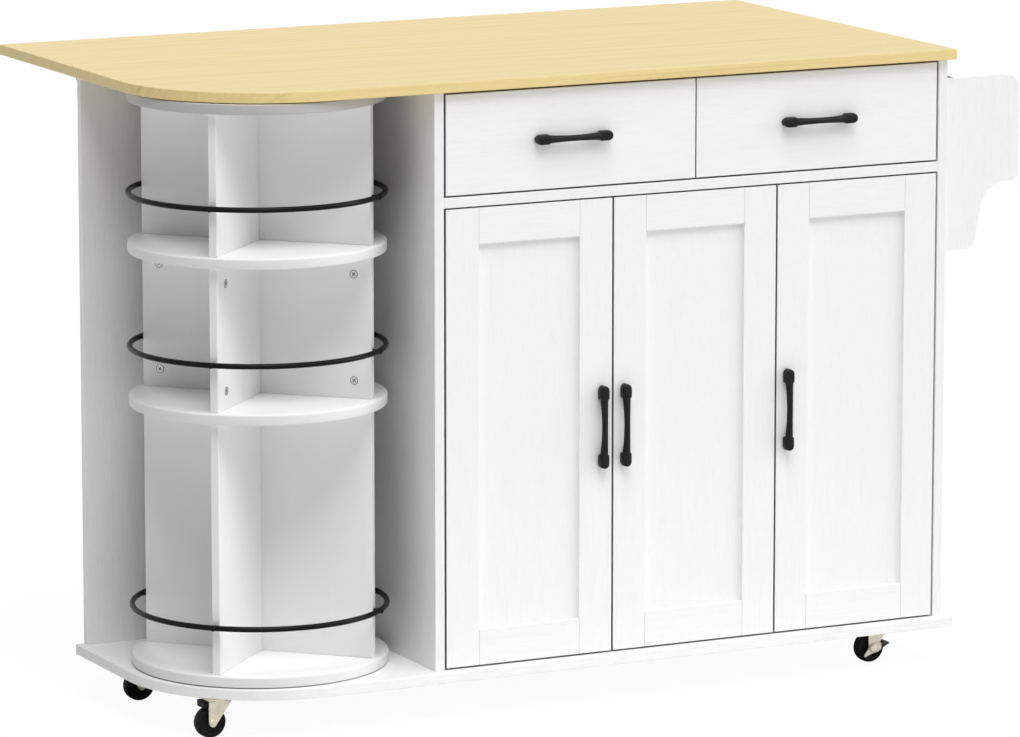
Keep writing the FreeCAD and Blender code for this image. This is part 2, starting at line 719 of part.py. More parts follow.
# ---------------------------------------------------------------------------------------------------------
# Doors
# ---------------------------------------------------------------------------------------------------------
def stile(label, x, mirrored, cup_levels):
    """An upright of a door frame, rabbeted at the back for the panel; cup_levels are its hinge bores."""
    body = new_body(label)
    depth, face, lip = s.front_board, s.frame_face, s.rabbet
    sketch = outline(
        new_sketch(body, "XY_Plane"),
        (0, 0),
        (s.stile_width, 0),
        (s.stile_width, face),
        (s.stile_width - lip, face),
        (s.stile_width - lip, depth),
        (0, depth),
        (0, 0),
    )
    pad(body, sketch, door_height)
    bore_depth = s.cup_depth + s.cup_fit
    for level in cup_levels:
        prism(body, s.cup_radius + s.cup_fit, bore_depth, ROD_SIDES, along="Y", cut=True,
              at=(s.cup_edge, depth - bore_depth, level))
    if mirrored:
        # Turned end for end about the depth axis, so that its rabbet faces left.
        return place(body, x + s.stile_width, 0, s.door_lift + door_height, (0, 1, 0), 180)
    return place(body, x, 0, s.door_lift)


def rail(label, x, z, upside_down):
    """A cross piece of a door frame between the stiles, rabbeted at the back for the panel."""
    body = new_body(label)
    depth, face, lip = s.front_board, s.frame_face, s.rabbet
    sketch = outline(
        new_sketch(body, "YZ_Plane"),
        (0, 0),
        (depth, 0),
        (depth, s.stile_width - lip),
        (face, s.stile_width - lip),
        (face, s.stile_width),
        (0, s.stile_width),
        (0, 0),
    )
    length = door_width - 2 * s.stile_width
    pad(body, sketch, length)
    if upside_down:
        return place(body, x + s.stile_width + length, 0, z, (0, 1, 0), 180)
    return place(body, x + s.stile_width, 0, z)


def hinge_cup(label, x, z):
    """A pressed hinge cup in the door's back, with its two screw wings."""
    body = new_body(label)
    half = s.cup_wing / 2
    wing_half = s.cup_radius * 0.6
    low = arc_points(as_size(0), wing_half - half, wing_half, 180, 360, 4)
    high = arc_points(as_size(0), half - wing_half, wing_half, 0, 180, 4)
    pad(body, outline(new_sketch(body, "XZ_Plane"), *low, *high, low[0]), s.cup_wall, reverse=True)
    prism(body, s.cup_radius, s.cup_depth, ROD_SIDES, at=(0, -s.cup_depth, 0), along="Y")
    prism(body, s.cup_radius - 2 * s.cup_wall, s.cup_depth, ROD_SIDES, at=(0, s.cup_wall - s.cup_depth, 0),
          along="Y", cut=True)
    return place(body, x, s.front_board, z)


def hinge_arm(label, panel_face, side, z):
    """A hinge arm on its mounting plate; side is +1 where the arm stands to the right of its panel."""
    body = new_body(label)
    rise, sheet_face = s.arm_rise, s.plate_sheet
    nose_y = s.arm_clear
    arm = outline(
        new_sketch(body, "XY_Plane"),
        (0, nose_y + s.arm_rise),
        (rise, nose_y),
        (rise + s.arm_nose / 2, nose_y),
        (rise + s.arm_nose / 2, nose_y + s.plate_sheet),
        (rise + s.plate_sheet, nose_y + s.arm_rise),
        (rise + s.plate_sheet, s.arm_length),
        (0, s.arm_length),
        (0, nose_y + s.arm_rise),
    )
    pad(body, arm, s.arm_height)
    plate = rectangle(new_sketch(body, "XY_Plane", (s.arm_height - s.plate_height) / 2), 0,
                      s.arm_length - s.plate_length, sheet_face, s.arm_length)
    pad(body, plate, s.plate_height)
    if side < 0:
        return place(body, panel_face, s.front_board, z + s.arm_height / 2, (0, 1, 0), 180)
    return place(body, panel_face, s.front_board, z - s.arm_height / 2)


hinge_levels = (s.hinge_spread, door_height - s.hinge_spread)
doors = {
    "left_door": (door_left[0], "left", s.board),
    "middle_door": (door_left[1], "right", partition_middle - s.board / 2),
    "right_door": (door_left[2], "right", s.cabinet_width - s.board),
}
arms = []
for name, (x, hinge_side, panel_face) in doors.items():
    left_hinged = hinge_side == "left"
    group(name, [
        stile(f"{name}_left_stile", x, False, hinge_levels if left_hinged else ()),
        stile(f"{name}_right_stile", x + door_width - s.stile_width, True,
              () if left_hinged else hinge_levels),
        rail(f"{name}_bottom_rail", x, s.door_lift, False),
        rail(f"{name}_top_rail", x, s.door_lift + door_height, True),
        board(f"{name}_panel", x + s.stile_width - s.rabbet, s.frame_face,
              s.door_lift + s.stile_width - s.rabbet, door_width - 2 * (s.stile_width - s.rabbet),
              s.front_board - s.frame_face, door_height - 2 * (s.stile_width - s.rabbet), eased=False),
    ])
    cup_x = x + s.cup_edge if left_hinged else x + door_width - s.cup_edge
    group(f"{name}_hinge_cups", [
        hinge_cup(f"{name}_cup_{i}", cup_x, s.door_lift + level) for i, level in enumerate(hinge_levels)
    ])
    for i, level in enumerate(hinge_levels):
        arms.append(hinge_arm(f"{name}_arm_{i}", panel_face, 1 if left_hinged else -1, s.door_lift + level))
    pull_x = x + door_width - s.pull_edge if left_hinged else x + s.pull_edge
    pull(f"{name}_pull", pull_x, s.door_lift + door_height / 2, True)
group("hinge_arms", arms)


# ---------------------------------------------------------------------------------------------------------
# Drawers and their slides
# ---------------------------------------------------------------------------------------------------------
def channel(label, height, lip, length, y, x, z, turn):
    """A rolled channel of a drawer slide, open towards its own +X."""
    body = new_body(label)
    wall = s.slide_sheet
    sketch = outline(
        new_sketch(body, "XZ_Plane"),
        (0, -height / 2),
        (lip, -height / 2),
        (lip, -height / 2 + wall),
        (wall, -height / 2 + wall),
        (wall, height / 2 - wall),
        (lip, height / 2 - wall),
        (lip, height / 2),
        (0, height / 2),
        (0, -height / 2),
    )
    pad(body, sketch, length)
    return place(body, x, y + length, z, (0, 1, 0), turn)


box_depth = carcass_back - s.box_back_gap - s.front_board
slide_length = carcass_back - s.slide_back_gap - s.slide_setback
box_floor_level = deck_top + s.box_lift
slide_level = box_floor_level + s.box_height / 2
drawer_width = (s.cabinet_width - 2 * s.board - 2 * s.door_gap - s.drawer_gap) / 2
drawer_height = s.drawer_bay - s.drawer_lift - s.drawer_top_gap
drawers = {
    "left": (s.board + s.door_gap, s.board, divider_middle - s.board / 2),
    "right": (divider_middle + s.drawer_gap / 2, divider_middle + s.board / 2, s.cabinet_width - s.board),
}
cabinet_members = []
for name, (front_x, bay_left, bay_right) in drawers.items():
    box_left = bay_left + s.slide_width
    box_right = bay_right - s.slide_width
    box_back = s.front_board + box_depth
    node(board(f"{name}_drawer_front", front_x, 0, deck_top + s.drawer_lift, drawer_width, s.front_board,
               drawer_height))
    sides = []
    for side, x, groove_x in (
        ("left", box_left, s.box_board - s.groove_depth),
        ("right", box_right - s.box_board, as_size(0)),
    ):
        piece = board(f"{name}_box_{side}_side", x, s.front_board, box_floor_level, s.box_board, box_depth,
                      s.box_height, eased=False)
        groove = rectangle(new_sketch(piece, "XZ_Plane"), groove_x, s.groove_lift,
                           groove_x + s.groove_depth, s.groove_lift + s.box_floor)
        pocket(piece, groove, box_depth, through=True)
        sides.append(piece)
    inner_width = box_right - box_left - 2 * s.box_board
    group(f"{name}_drawer_box", sides + [
        board(f"{name}_box_back", box_left + s.box_board, box_back - s.box_board,
              box_floor_level + s.groove_lift + s.box_floor, inner_width, s.box_board,
              s.box_height - s.groove_lift - s.box_floor, eased=False),
        board(f"{name}_box_bottom", box_left + s.box_board - s.groove_depth, s.front_board,
              box_floor_level + s.groove_lift, inner_width + 2 * s.groove_depth, box_depth, s.box_floor,
              eased=False),
    ])
    pull(f"{name}_drawer_pull", front_x + drawer_width / 2, deck_top + s.drawer_lift + drawer_height / 2,
         False)
    group(f"{name}_drawer_slides", [
        channel(f"{name}_inner_left", s.inner_height, s.inner_lip, box_depth, s.front_board, box_left,
                slide_level, 180),
        channel(f"{name}_inner_right", s.inner_height, s.inner_lip, box_depth, s.front_board, box_right,
                slide_level, 0),
    ])
    cabinet_members += [
        channel(f"{name}_outer_left", s.slide_height, s.slide_lip, slide_length, s.slide_setback, bay_left,
                slide_level, 0),
        channel(f"{name}_outer_right", s.slide_height, s.slide_lip, slide_length, s.slide_setback, bay_right,
                slide_level, 180),
    ]
group("slide_cabinet_members", cabinet_members)


# ---------------------------------------------------------------------------------------------------------
# Casters
# ---------------------------------------------------------------------------------------------------------
crown_top = s.wheel_radius + s.fork_rise
plate_under = s.caster_height - s.caster_sheet


def caster_plate(label, x, y):
    """A screwed top plate with the kingpin that the fork turns on."""
    body = new_body(label)
    half = s.plate_size / 2
    plate = rectangle(new_sketch(body, "XY_Plane", plate_under), -half, -half, half, half)
    pad(body, plate, s.caster_sheet)
    pin_low = crown_top - s.fork_sheet - s.race_play
    cylinder(body, s.kingpin, plate_under - pin_low, at=(0, 0, pin_low))
    prism(body, s.kingpin_head, s.fork_sheet, SMALL_SIDES, at=(0, 0, pin_low - s.fork_sheet))
    return place(body, x, y, origin_z)


def fork(label, x, y, brake):
    """A pressed fork: two triangular legs, a crown with the ball race, the axle bolt and any brake's pin.

    The legs' front edges are tangents to the round foot about the axle.
    """
    body = new_body(label)
    half = s.fork_width / 2
    front_end = half + (2 * s.lever_gap + s.lever_sheet if brake == "lever" else 0)
    slope = math.atan2(s.fork_rise.value, s.fork_nose.value)
    tangent = math.acos(s.fork_back.value / math.hypot(s.fork_rise.value, s.fork_nose.value))
    toe = arc_points(-s.trail, s.wheel_radius, s.fork_back, 180, 360 + math.degrees(slope - tangent), 4)
    leg = outline(
        new_sketch(body, "XZ_Plane", -half),
        *toe,
        (-s.trail + s.fork_nose, crown_top),
        (-s.trail - s.fork_back, crown_top),
        toe[0],
    )
    pad(body, leg, s.fork_width)
    gap = rectangle(new_sketch(body, "YZ_Plane"), -half + s.fork_sheet, 0, half - s.fork_sheet,
                    crown_top - s.fork_sheet)
    doc.recompute()
    opening = pocket(body, gap, 0, through=True)
    opening.Midplane = True
    race_height = plate_under - s.race_play - crown_top
    prism(body, s.race_radius, race_height, ROD_SIDES, at=(0, 0, crown_top))
    bore(body, s.kingpin + s.kingpin_fit, race_height + s.fork_sheet, at=(0, 0, crown_top - s.fork_sheet))
    cylinder(body, s.axle, front_end + half, at=(-s.trail, -front_end, s.wheel_radius), along="Y")
    for start in (-front_end - s.axle_cap, half):
        prism(body, s.axle_head, s.axle_cap, NUT_SIDES, at=(-s.trail, start, s.wheel_radius), along="Y")
    if brake == "pedal":
        cylinder(body, s.pedal_pin, s.fork_width, along="Y",
                 at=(s.pedal_pin_out - s.trail, -half, s.wheel_radius + s.pedal_pin_up))
    return node(place(body, x, y, origin_z))


def wheel(label, x, y):
    """A one-piece wheel with eased shoulders and a hub a little wider than its tread."""
    body = new_body(label)
    prism(body, s.wheel_radius, s.wheel_width, WHEEL_SIDES, at=(0, -s.wheel_width / 2, 0), along="Y")
    ease_rims(body, (0, 1, 0), s.wheel_shoulder)
    prism(body, s.hub_radius, s.hub_width, SMALL_SIDES, at=(0, -s.hub_width / 2, 0), along="Y")
    bore(body, s.axle + s.axle_fit, s.hub_width, at=(0, -s.hub_width / 2, 0), along="Y")
    return node(place(body, x - s.trail, y, origin_z + s.wheel_radius))


def brake_pedal(label, x, y):
    """A brake pedal on a pin between the fork's legs, whose pad stands behind their upright edges."""
    body = new_body(label)
    lever = outline(
        new_sketch(body, "XZ_Plane", -s.pedal_half),
        (-13, -2.5),
        (3, -2.5),
        (3, 2.5),
        (-13, 2.5),
        (-13, -2.5),
    )
    pad(body, lever, 2 * s.pedal_half)
    bore(body, s.pedal_pin + s.pedal_fit, 2 * s.pedal_half, at=(0, -s.pedal_half, 0), along="Y")
    toe = rectangle(new_sketch(body, "XZ_Plane", -s.pedal_pad_half), -15, -3.3, -7.6, 6)
    pad(body, toe, 2 * s.pedal_pad_half)
    return node(place(body, x - s.trail + s.pedal_pin_out, y, origin_z + s.wheel_radius + s.pedal_pin_up))


def brake_lever(label, x, y):
    """A pressed lever on the axle's front end, with a tail and an arm to the toe pad beyond the wheel."""
    body = new_body(label)
    near = s.fork_width / 2 + s.lever_gap
    lever = outline(
        new_sketch(body, "XZ_Plane", near),
        (-5, 6),
        (-7.5, 0),
        (-15, -10),
        (-13, -12.5),
        (0, -7.5),
        (8, -6),
        (s.toe_right - s.toe_gap, s.toe_low),
        (s.toe_right - s.toe_gap, s.toe_high),
        (5, s.toe_high),
        (-5, 6),
    )
    pad(body, lever, s.lever_sheet)
    toe = rectangle(new_sketch(body, "XZ_Plane", near), s.toe_left, s.toe_low, s.toe_right, s.toe_high)
    pad(body, toe, s.toe_thick)
    across = rectangle(new_sketch(body, "XZ_Plane", -s.fork_width / 2), s.wheel_radius + s.toe_gap, s.toe_low,
                       s.toe_right, s.toe_high)
    pad(body, across, s.fork_width + s.lever_gap + s.lever_sheet)
    bore(body, s.axle + s.axle_fit, s.lever_sheet, at=(0, -near - s.lever_sheet, 0), along="Y")
    return node(place(body, x - s.trail, y, origin_z + s.wheel_radius))


caster_xs = {"left": base_left + s.caster_left_inset, "right": base_right - s.caster_right_inset}
caster_ys = {
    "front": -s.base_front_overhang + s.caster_depth_inset,
    "back": s.cabinet_depth - s.caster_depth_inset,
}
brakes = {"front_left": "pedal", "front_right": "lever"}
plates = []
for depth_name, y in caster_ys.items():
    for side_name, x in caster_xs.items():
        corner = f"{depth_name}_{side_name}"
        plates.append(caster_plate(f"{corner}_plate", x, y))
        fork(f"{corner}_fork", x, y, brakes.get(corner))
        wheel(f"{corner}_wheel", x, y)
group("caster_plates", plates)
brake_pedal("front_left_brake", caster_xs["left"], caster_ys["front"])
brake_lever("front_right_brake", caster_xs["right"], caster_ys["front"])


# ---------------------------------------------------------------------------------------------------------
# Rack on the right side panel
# ---------------------------------------------------------------------------------------------------------
rack_low = s.cabinet_height - s.rack_drop - s.rack_height
rack_back = carcass_back


def rack_end(label, y):
    """A shaped end panel: wide shelf part above, narrow foot below, one sweep between them."""
    body = new_body(label)
    neck_top = s.rack_neck_height + s.rack_sweep
    sketch = outline(
        new_sketch(body, "XZ_Plane"),
        (0, 0),
        (s.rack_foot - s.rack_foot_round, 0),
        (s.rack_foot, s.rack_foot_round, s.rack_foot_round, 1),
        (s.rack_neck, s.rack_neck_height),
        (s.rack_neck + s.rack_sweep, neck_top, s.rack_sweep, -1),
        (s.rack_width - s.rack_lip_round, neck_top),
        (s.rack_width, neck_top + s.rack_lip_round, s.rack_lip_round, 1),
        (s.rack_width, s.rack_height - s.rack_top_round),
        (s.rack_width - s.rack_top_round, s.rack_height, s.rack_top_round, 1),
        (0, s.rack_height),
        (0, 0),
    )
    pad(body, sketch, s.board, reverse=True)
    return place(body, s.cabinet_width, y, rack_low)


group("rack_end_panels", [
    rack_end("rack_front_panel", s.rack_front),
    rack_end("rack_back_panel", rack_back - s.board),
])
rack_inner_front = s.rack_front + s.board
rack_inner_length = rack_back - s.board - rack_inner_front
node(board("rack_shelf", s.cabinet_width, rack_inner_front, rack_low + s.rack_shelf_lift,
           s.rack_width - s.rack_shelf_inset, rack_inner_length, s.rack_shelf_board))


def rack_rail(label, radius, x, z):
    """A round rail between the rack's end panels."""
    body = new_body(label)
    prism(body, radius, rack_inner_length, ROD_SIDES, along="Y")
    return place(body, x, rack_inner_front, z)


group("rack_rails", [
    rack_rail("guard_rail", s.guard_tube, rack_right - s.guard_inset,
              rack_low + s.rack_height - s.guard_drop),
    rack_rail("towel_rail", s.towel_tube, s.cabinet_width + s.towel_out, rack_low + s.towel_lift),
])


# ---------------------------------------------------------------------------------------------------------
# Check and write
# ---------------------------------------------------------------------------------------------------------
doc.recompute()
failed = [item.Label for item in doc.Objects if {"Invalid", "Error"} & set(item.State)]
if failed:
    raise RuntimeError("objects that did not build: " + ", ".join(failed))
for label, item in nodes.items():
    if item.Shape.isNull() or not item.Shape.isValid() or not item.Shape.Solids:
        raise RuntimeError("not a valid solid: " + label)

os.makedirs("parts", exist_ok=True)
for label, item in nodes.items():
    item.Shape.exportStep(f"parts/{label}.step")

box = FreeCAD.BoundBox()
for item in nodes.values():
    box.add(item.Shape.BoundBox)
print(f"{len(nodes)} nodes, {sum(len(item.Shape.Solids) for item in nodes.values())} solids")
print(f"box {box.XMin:.2f} {box.XMax:.2f} | {box.YMin:.2f} {box.YMax:.2f} | {box.ZMin:.2f} {box.ZMax:.2f}")
print(f"links {lower_length.value:.2f} and {upper_length.value:.2f}, lean {strut_lean.value:.3f}")
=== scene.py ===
import math

import bmesh
import bpy
import numpy as np
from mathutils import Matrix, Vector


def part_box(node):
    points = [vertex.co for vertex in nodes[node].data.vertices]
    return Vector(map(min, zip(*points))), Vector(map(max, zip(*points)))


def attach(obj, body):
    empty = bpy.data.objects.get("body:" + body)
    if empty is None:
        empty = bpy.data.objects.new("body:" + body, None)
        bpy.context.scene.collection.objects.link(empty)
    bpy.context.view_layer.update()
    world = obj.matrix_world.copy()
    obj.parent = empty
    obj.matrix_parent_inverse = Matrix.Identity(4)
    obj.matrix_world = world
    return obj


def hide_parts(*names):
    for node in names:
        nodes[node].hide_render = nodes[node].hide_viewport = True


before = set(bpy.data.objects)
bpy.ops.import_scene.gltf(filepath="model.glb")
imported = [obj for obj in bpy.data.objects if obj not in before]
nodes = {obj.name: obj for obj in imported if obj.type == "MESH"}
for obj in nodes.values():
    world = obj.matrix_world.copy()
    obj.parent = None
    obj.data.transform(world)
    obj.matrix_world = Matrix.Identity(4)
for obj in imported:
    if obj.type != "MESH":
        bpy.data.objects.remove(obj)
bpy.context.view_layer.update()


# ---- Studio -------------------------------------------------------------------------------------------
# The camera stands to the left of the island's front at the photograph's angle, far off with a long lens.
# Three soft lamps, one high in front and two lower at the right, model the boards, and pale air fills in.
camera_place = (-4.0423, -8.10585, 2.0805)
camera_tilt = 79.738
camera_turn = -26.484
frame_width = 1020
focal_pixels = 6165.1
sensor = 36.0

lens = bpy.data.cameras.new("studio_camera")
lens.sensor_fit = "HORIZONTAL"
lens.sensor_width = sensor
lens.lens = focal_pixels * sensor / frame_width
lens.clip_end = 200.0
camera = bpy.data.objects.new("studio_camera", lens)
camera.location = camera_place
camera.rotation_euler = (math.radians(camera_tilt), 0.0, math.radians(camera_turn))
bpy.context.collection.objects.link(camera)
bpy.context.scene.camera = camera
bpy.context.scene.view_settings.view_transform = "Standard"

lamp_softness = 35.0
# Each lamp: its strength, how far it stands to the right of the front, and its height, in degrees.
lamps = {"high_light": (2.05, -15.0, 65.0), "side_light": (0.66, 45.0, 40.0), "low_light": (1.1, 75.0, 15.0)}
for lamp_name, (strength, side, height) in lamps.items():
    light = bpy.data.lights.new(lamp_name, "SUN")
    light.energy = strength
    light.angle = math.radians(lamp_softness)
    lamp = bpy.data.objects.new(lamp_name, light)
    lamp.rotation_euler = (math.radians(90.0 - height), 0.0, math.radians(side))
    bpy.context.collection.objects.link(lamp)

air = bpy.data.worlds.new("studio_air")
bpy.context.scene.world = air
air.use_nodes = True
air_tree = air.node_tree
air_tree.nodes.clear()
air_rays = air_tree.nodes.new("ShaderNodeLightPath")
seen = air_tree.nodes.new("ShaderNodeMath")
seen.operation = "MAXIMUM"
seen_or_mirrored = air_tree.nodes.new("ShaderNodeMath")
seen_or_mirrored.operation = "MAXIMUM"
fill_air = air_tree.nodes.new("ShaderNodeBackground")
fill_air.inputs["Color"].default_value = (1.0, 1.0, 1.0, 1.0)
fill_air.inputs["Strength"].default_value = 0.11
white_air = air_tree.nodes.new("ShaderNodeBackground")
white_air.inputs["Color"].default_value = (1.0, 1.0, 1.0, 1.0)
white_air.inputs["Strength"].default_value = 1.0
both_airs = air_tree.nodes.new("ShaderNodeMixShader")
air_out = air_tree.nodes.new("ShaderNodeOutputWorld")
air_tree.links.new(air_rays.outputs["Is Camera Ray"], seen.inputs[0])
air_tree.links.new(air_rays.outputs["Is Transmission Ray"], seen.inputs[1])
air_tree.links.new(seen.outputs[0], seen_or_mirrored.inputs[0])
air_tree.links.new(air_rays.outputs["Is Glossy Ray"], seen_or_mirrored.inputs[1])
air_tree.links.new(seen_or_mirrored.outputs[0], both_airs.inputs[0])
air_tree.links.new(fill_air.outputs[0], both_airs.inputs[1])
air_tree.links.new(white_air.outputs[0], both_airs.inputs[2])
air_tree.links.new(both_airs.outputs[0], air_out.inputs[0])

floor_reach = 40.0
floor_mesh = bpy.data.meshes.new("studio_floor")
floor_mesh.from_pydata(
    [(-floor_reach, -floor_reach, 0.0), (floor_reach, -floor_reach, 0.0),
     (floor_reach, floor_reach, 0.0), (-floor_reach, floor_reach, 0.0)],
    [], [(0, 1, 2, 3)])
floor = bpy.data.objects.new("studio_floor", floor_mesh)
bpy.context.collection.objects.link(floor)
floor_paint = bpy.data.materials.new("studio_floor")
floor_paint.use_nodes = True
floor_tree = floor_paint.node_tree
floor_tree.nodes.clear()
floor_rays = floor_tree.nodes.new("ShaderNodeLightPath")
floor_share = floor_tree.nodes.new("ShaderNodeMath")
floor_share.operation = "MULTIPLY"
floor_share.inputs[1].default_value = 0.92
floor_matt = floor_tree.nodes.new("ShaderNodeBsdfDiffuse")
floor_matt.inputs["Color"].default_value = (0.93, 0.93, 0.93, 1.0)
floor_glow = floor_tree.nodes.new("ShaderNodeEmission")
floor_glow.inputs["Color"].default_value = (1.0, 1.0, 1.0, 1.0)
floor_glow.inputs["Strength"].default_value = 1.03
floor_mix = floor_tree.nodes.new("ShaderNodeMixShader")
floor_out = floor_tree.nodes.new("ShaderNodeOutputMaterial")
floor_tree.links.new(floor_rays.outputs["Is Camera Ray"], floor_share.inputs[0])
floor_tree.links.new(floor_share.outputs[0], floor_mix.inputs[0])
floor_tree.links.new(floor_matt.outputs[0], floor_mix.inputs[1])
floor_tree.links.new(floor_glow.outputs[0], floor_mix.inputs[2])
floor_tree.links.new(floor_mix.outputs[0], floor_out.inputs[0])
floor_mesh.materials.append(floor_paint)


# ---- Base plate ---------------------------------------------------------------------------------------
# One long sheet of white laminated board that everything stands on, its grain running the island's length.
# The laminate is pressed with a fine wood grain: soft streaks, and short pores that are a little deeper.
class Shade:
    """One value of a finish, held as a node's output socket. Arithmetic on it adds Math nodes."""

    def __init__(self, finish, socket):
        self.finish = finish
        self.socket = socket

    def math(self, operation, *terms):
        return self.finish.node("ShaderNodeMath", {"operation": operation}, dict(enumerate(terms)))

    def __add__(self, other):
        return self.math("ADD", self, other)

    def __radd__(self, other):
        return self.math("ADD", other, self)

    def __sub__(self, other):
        return self.math("SUBTRACT", self, other)

    def __rsub__(self, other):
        return self.math("SUBTRACT", other, self)

    def __mul__(self, other):
        return self.math("MULTIPLY", self, other)

    def __rmul__(self, other):
        return self.math("MULTIPLY", other, self)

    def __truediv__(self, other):
        return self.math("DIVIDE", self, other)

    def __abs__(self):
        return self.math("ABSOLUTE", self)

    def floor(self):
        return self.math("FLOOR", self)

    def sine(self):
        return self.math("SINE", self)

    def above(self, other):
        return self.math("GREATER_THAN", self, other)

    def below(self, other):
        return self.math("LESS_THAN", self, other)

    def least(self, other):
        return self.math("MINIMUM", self, other)

    def most(self, other):
        return self.math("MAXIMUM", self, other)

    def ramp(self, low, high):
        """0 below low, 1 above high, and smooth between them."""
        return self.finish.node("ShaderNodeMapRange", {"interpolation_type": "SMOOTHSTEP"},
                                {"Value": self, "From Min": low, "From Max": high})


class Finish:
    """A material whose surface is worked out from places in the object's own frame, in metres."""

    def __init__(self, name, colour, roughness, metallic=0.0, coat=0.0, specular=0.5):
        self.material = bpy.data.materials.new(name)
        self.material.use_nodes = True
        self.tree = self.material.node_tree
        self.shader = self.tree.nodes["Principled BSDF"]
        self.set("Base Color", (*colour, 1.0))
        self.set("Roughness", roughness)
        self.set("Metallic", metallic)
        self.set("Coat Weight", coat)
        self.set("Specular IOR Level", specular)
        self.material.diffuse_color = (*colour, 1.0)

    def set(self, socket, value):
        """Feeds a socket of the shader with a number, a colour or a shade."""
        self.feed(self.shader.inputs[socket], value)

    def feed(self, socket, value):
        if isinstance(value, Shade):
            self.tree.links.new(value.socket, socket)
        else:
            socket.default_value = value

    def node(self, kind, settings, sockets, output=0):
        """Adds a node: its settings first, then the values or links of its sockets."""
        node = self.tree.nodes.new(kind)
        for key, value in settings.items():
            setattr(node, key, value)
        for key, value in sockets.items():
            self.feed(node.inputs[key], value)
        return Shade(self, node.outputs[output])

    def place(self):
        """The x, y and z of the point in the object's own frame."""
        spot = self.node("ShaderNodeTexCoord", {}, {}, "Object")
        return [self.node("ShaderNodeSeparateXYZ", {}, {0: spot}, axis) for axis in range(3)]

    def point(self, x, y, z):
        return self.node("ShaderNodeCombineXYZ", {}, {0: x, 1: y, 2: z})

    def noise(self, point, scale=1.0, detail=3.0, roughness=0.55, distortion=0.0):
        """Smooth noise about 0.5, with its features about 1 / scale across."""
        return self.node("ShaderNodeTexNoise", {"noise_dimensions": "3D"},
                         {"Vector": point, "Scale": scale, "Detail": detail, "Roughness": roughness,
                          "Distortion": distortion})

    def blend(self, factor, first, second):
        """A colour between two, by a factor from 0 to 1."""
        first = first if isinstance(first, Shade) else (*first, 1.0)
        second = second if isinstance(second, Shade) else (*second, 1.0)
        return self.node("ShaderNodeMix", {"data_type": "RGBA"}, {0: factor, 6: first, 7: second}, 2)

    def relief(self, height, depth, strength=1.0):
        """Bumps the surface by a height from 0 to 1, that deep in metres."""
        bump = self.node("ShaderNodeBump", {}, {"Height": height, "Distance": depth, "Strength": strength})
        self.set("Normal", bump)

    def on(self, *names):
        """Gives the finish to CAD nodes, by name, or to pieces."""
        for name in names:
            piece = nodes[name] if isinstance(name, str) else name
            if not piece.material_slots:
                piece.data.materials.append(self.material)
            for slot in piece.material_slots:
                slot.material = self.material
        return self


def ink(red, green, blue):
    """A colour read off a screen, from 0 to 255, as the light that it stands for."""
    share = np.array([red, green, blue]) / 255.0
    return tuple(float(c) for c in np.where(share <= 0.04045, share / 12.92, ((share + 0.055) / 1.055) ** 2.4))


LAMINATE_WHITE = ink(247, 247, 247)
LAMINATE_SHADE = ink(233, 233, 234)


def pressed_grain(finish, grain, seed=0.0):
    """Streaks and pores of pressed wood grain along one axis ("x", "y" or "z"), each from 0 to 1.

    Noise is drawn out 60 times along the grain; its places across the grain wander by slow noise.
    """
    x, y, z = finish.place()
    wander = finish.noise(finish.point(x + seed, y, z), scale=5.0, detail=2.0) * 0.012
    slow, fine = 9.0, 620.0
    fine_pore, slow_pore = 1300.0, 48.0
    streak_scale = [slow if axis == grain else fine for axis in "xyz"]
    pore_scale = [slow_pore if axis == grain else fine_pore for axis in "xyz"]
    spot = [x + seed if grain == "x" else x + wander, y if grain == "y" else y + wander,
            z if grain == "z" else z + wander]
    streaks = finish.noise(finish.point(*[s * k for s, k in zip(spot, streak_scale)]), detail=4.0,
                           roughness=0.62)
    pores = finish.noise(finish.point(*[s * k for s, k in zip(spot, pore_scale)]), detail=1.0)
    return streaks, pores.ramp(0.56, 0.72)


def laminate(name, grain, seed=0.0, white=LAMINATE_WHITE, figure=1.0):
    """White laminated board with a fine pressed grain along one axis, as strong as figure says."""
    finish = Finish(name, white, 0.46, specular=0.4)
    streaks, pores = pressed_grain(finish, grain, seed)
    drawn = (streaks.ramp(0.35, 0.75) * 0.35 + pores * 0.5) * figure
    finish.set("Base Color", finish.blend(drawn, white, LAMINATE_SHADE))
    finish.set("Roughness", 0.40 + streaks * 0.12 + pores * 0.08)
    finish.relief(streaks * 0.5 - pores * 0.6, 0.00016, 0.55 * figure)
    return finish


long_board = laminate("laminate_long_grain", "x")
long_board.on("base_plate")


# ---- Upright boards of the carcass --------------------------------------------------------------------
# The side panels, the partition and the two back boards are cut with the grain upright, from the same
# white laminated board. Their front edges are banded to match.
upright_board = laminate("laminate_upright_grain", "z", seed=2.3)
upright_board.on("left_side_panel", "right_side_panel", "partition_panel", "drawer_divider",
                 "bay_back_panel", "cabinet_back_panel")


# ---- Level boards inside the carcass ------------------------------------------------------------------
# The deck under the drawers, the rails that carry the top and the two loose shelves run left to right.
# They are the same board as the base, each with its own cut of the grain.
level_board = laminate("laminate_level_grain", "x", seed=7.1)
level_board.on("drawer_deck", "top_rails", "cabinet_shelves")


# ---- Shelf pins ---------------------------------------------------------------------------------------
# Nickel plated pins under the loose shelves. The plating is bright, with a little tarnish in blotches.
NICKEL = ink(196, 192, 184)


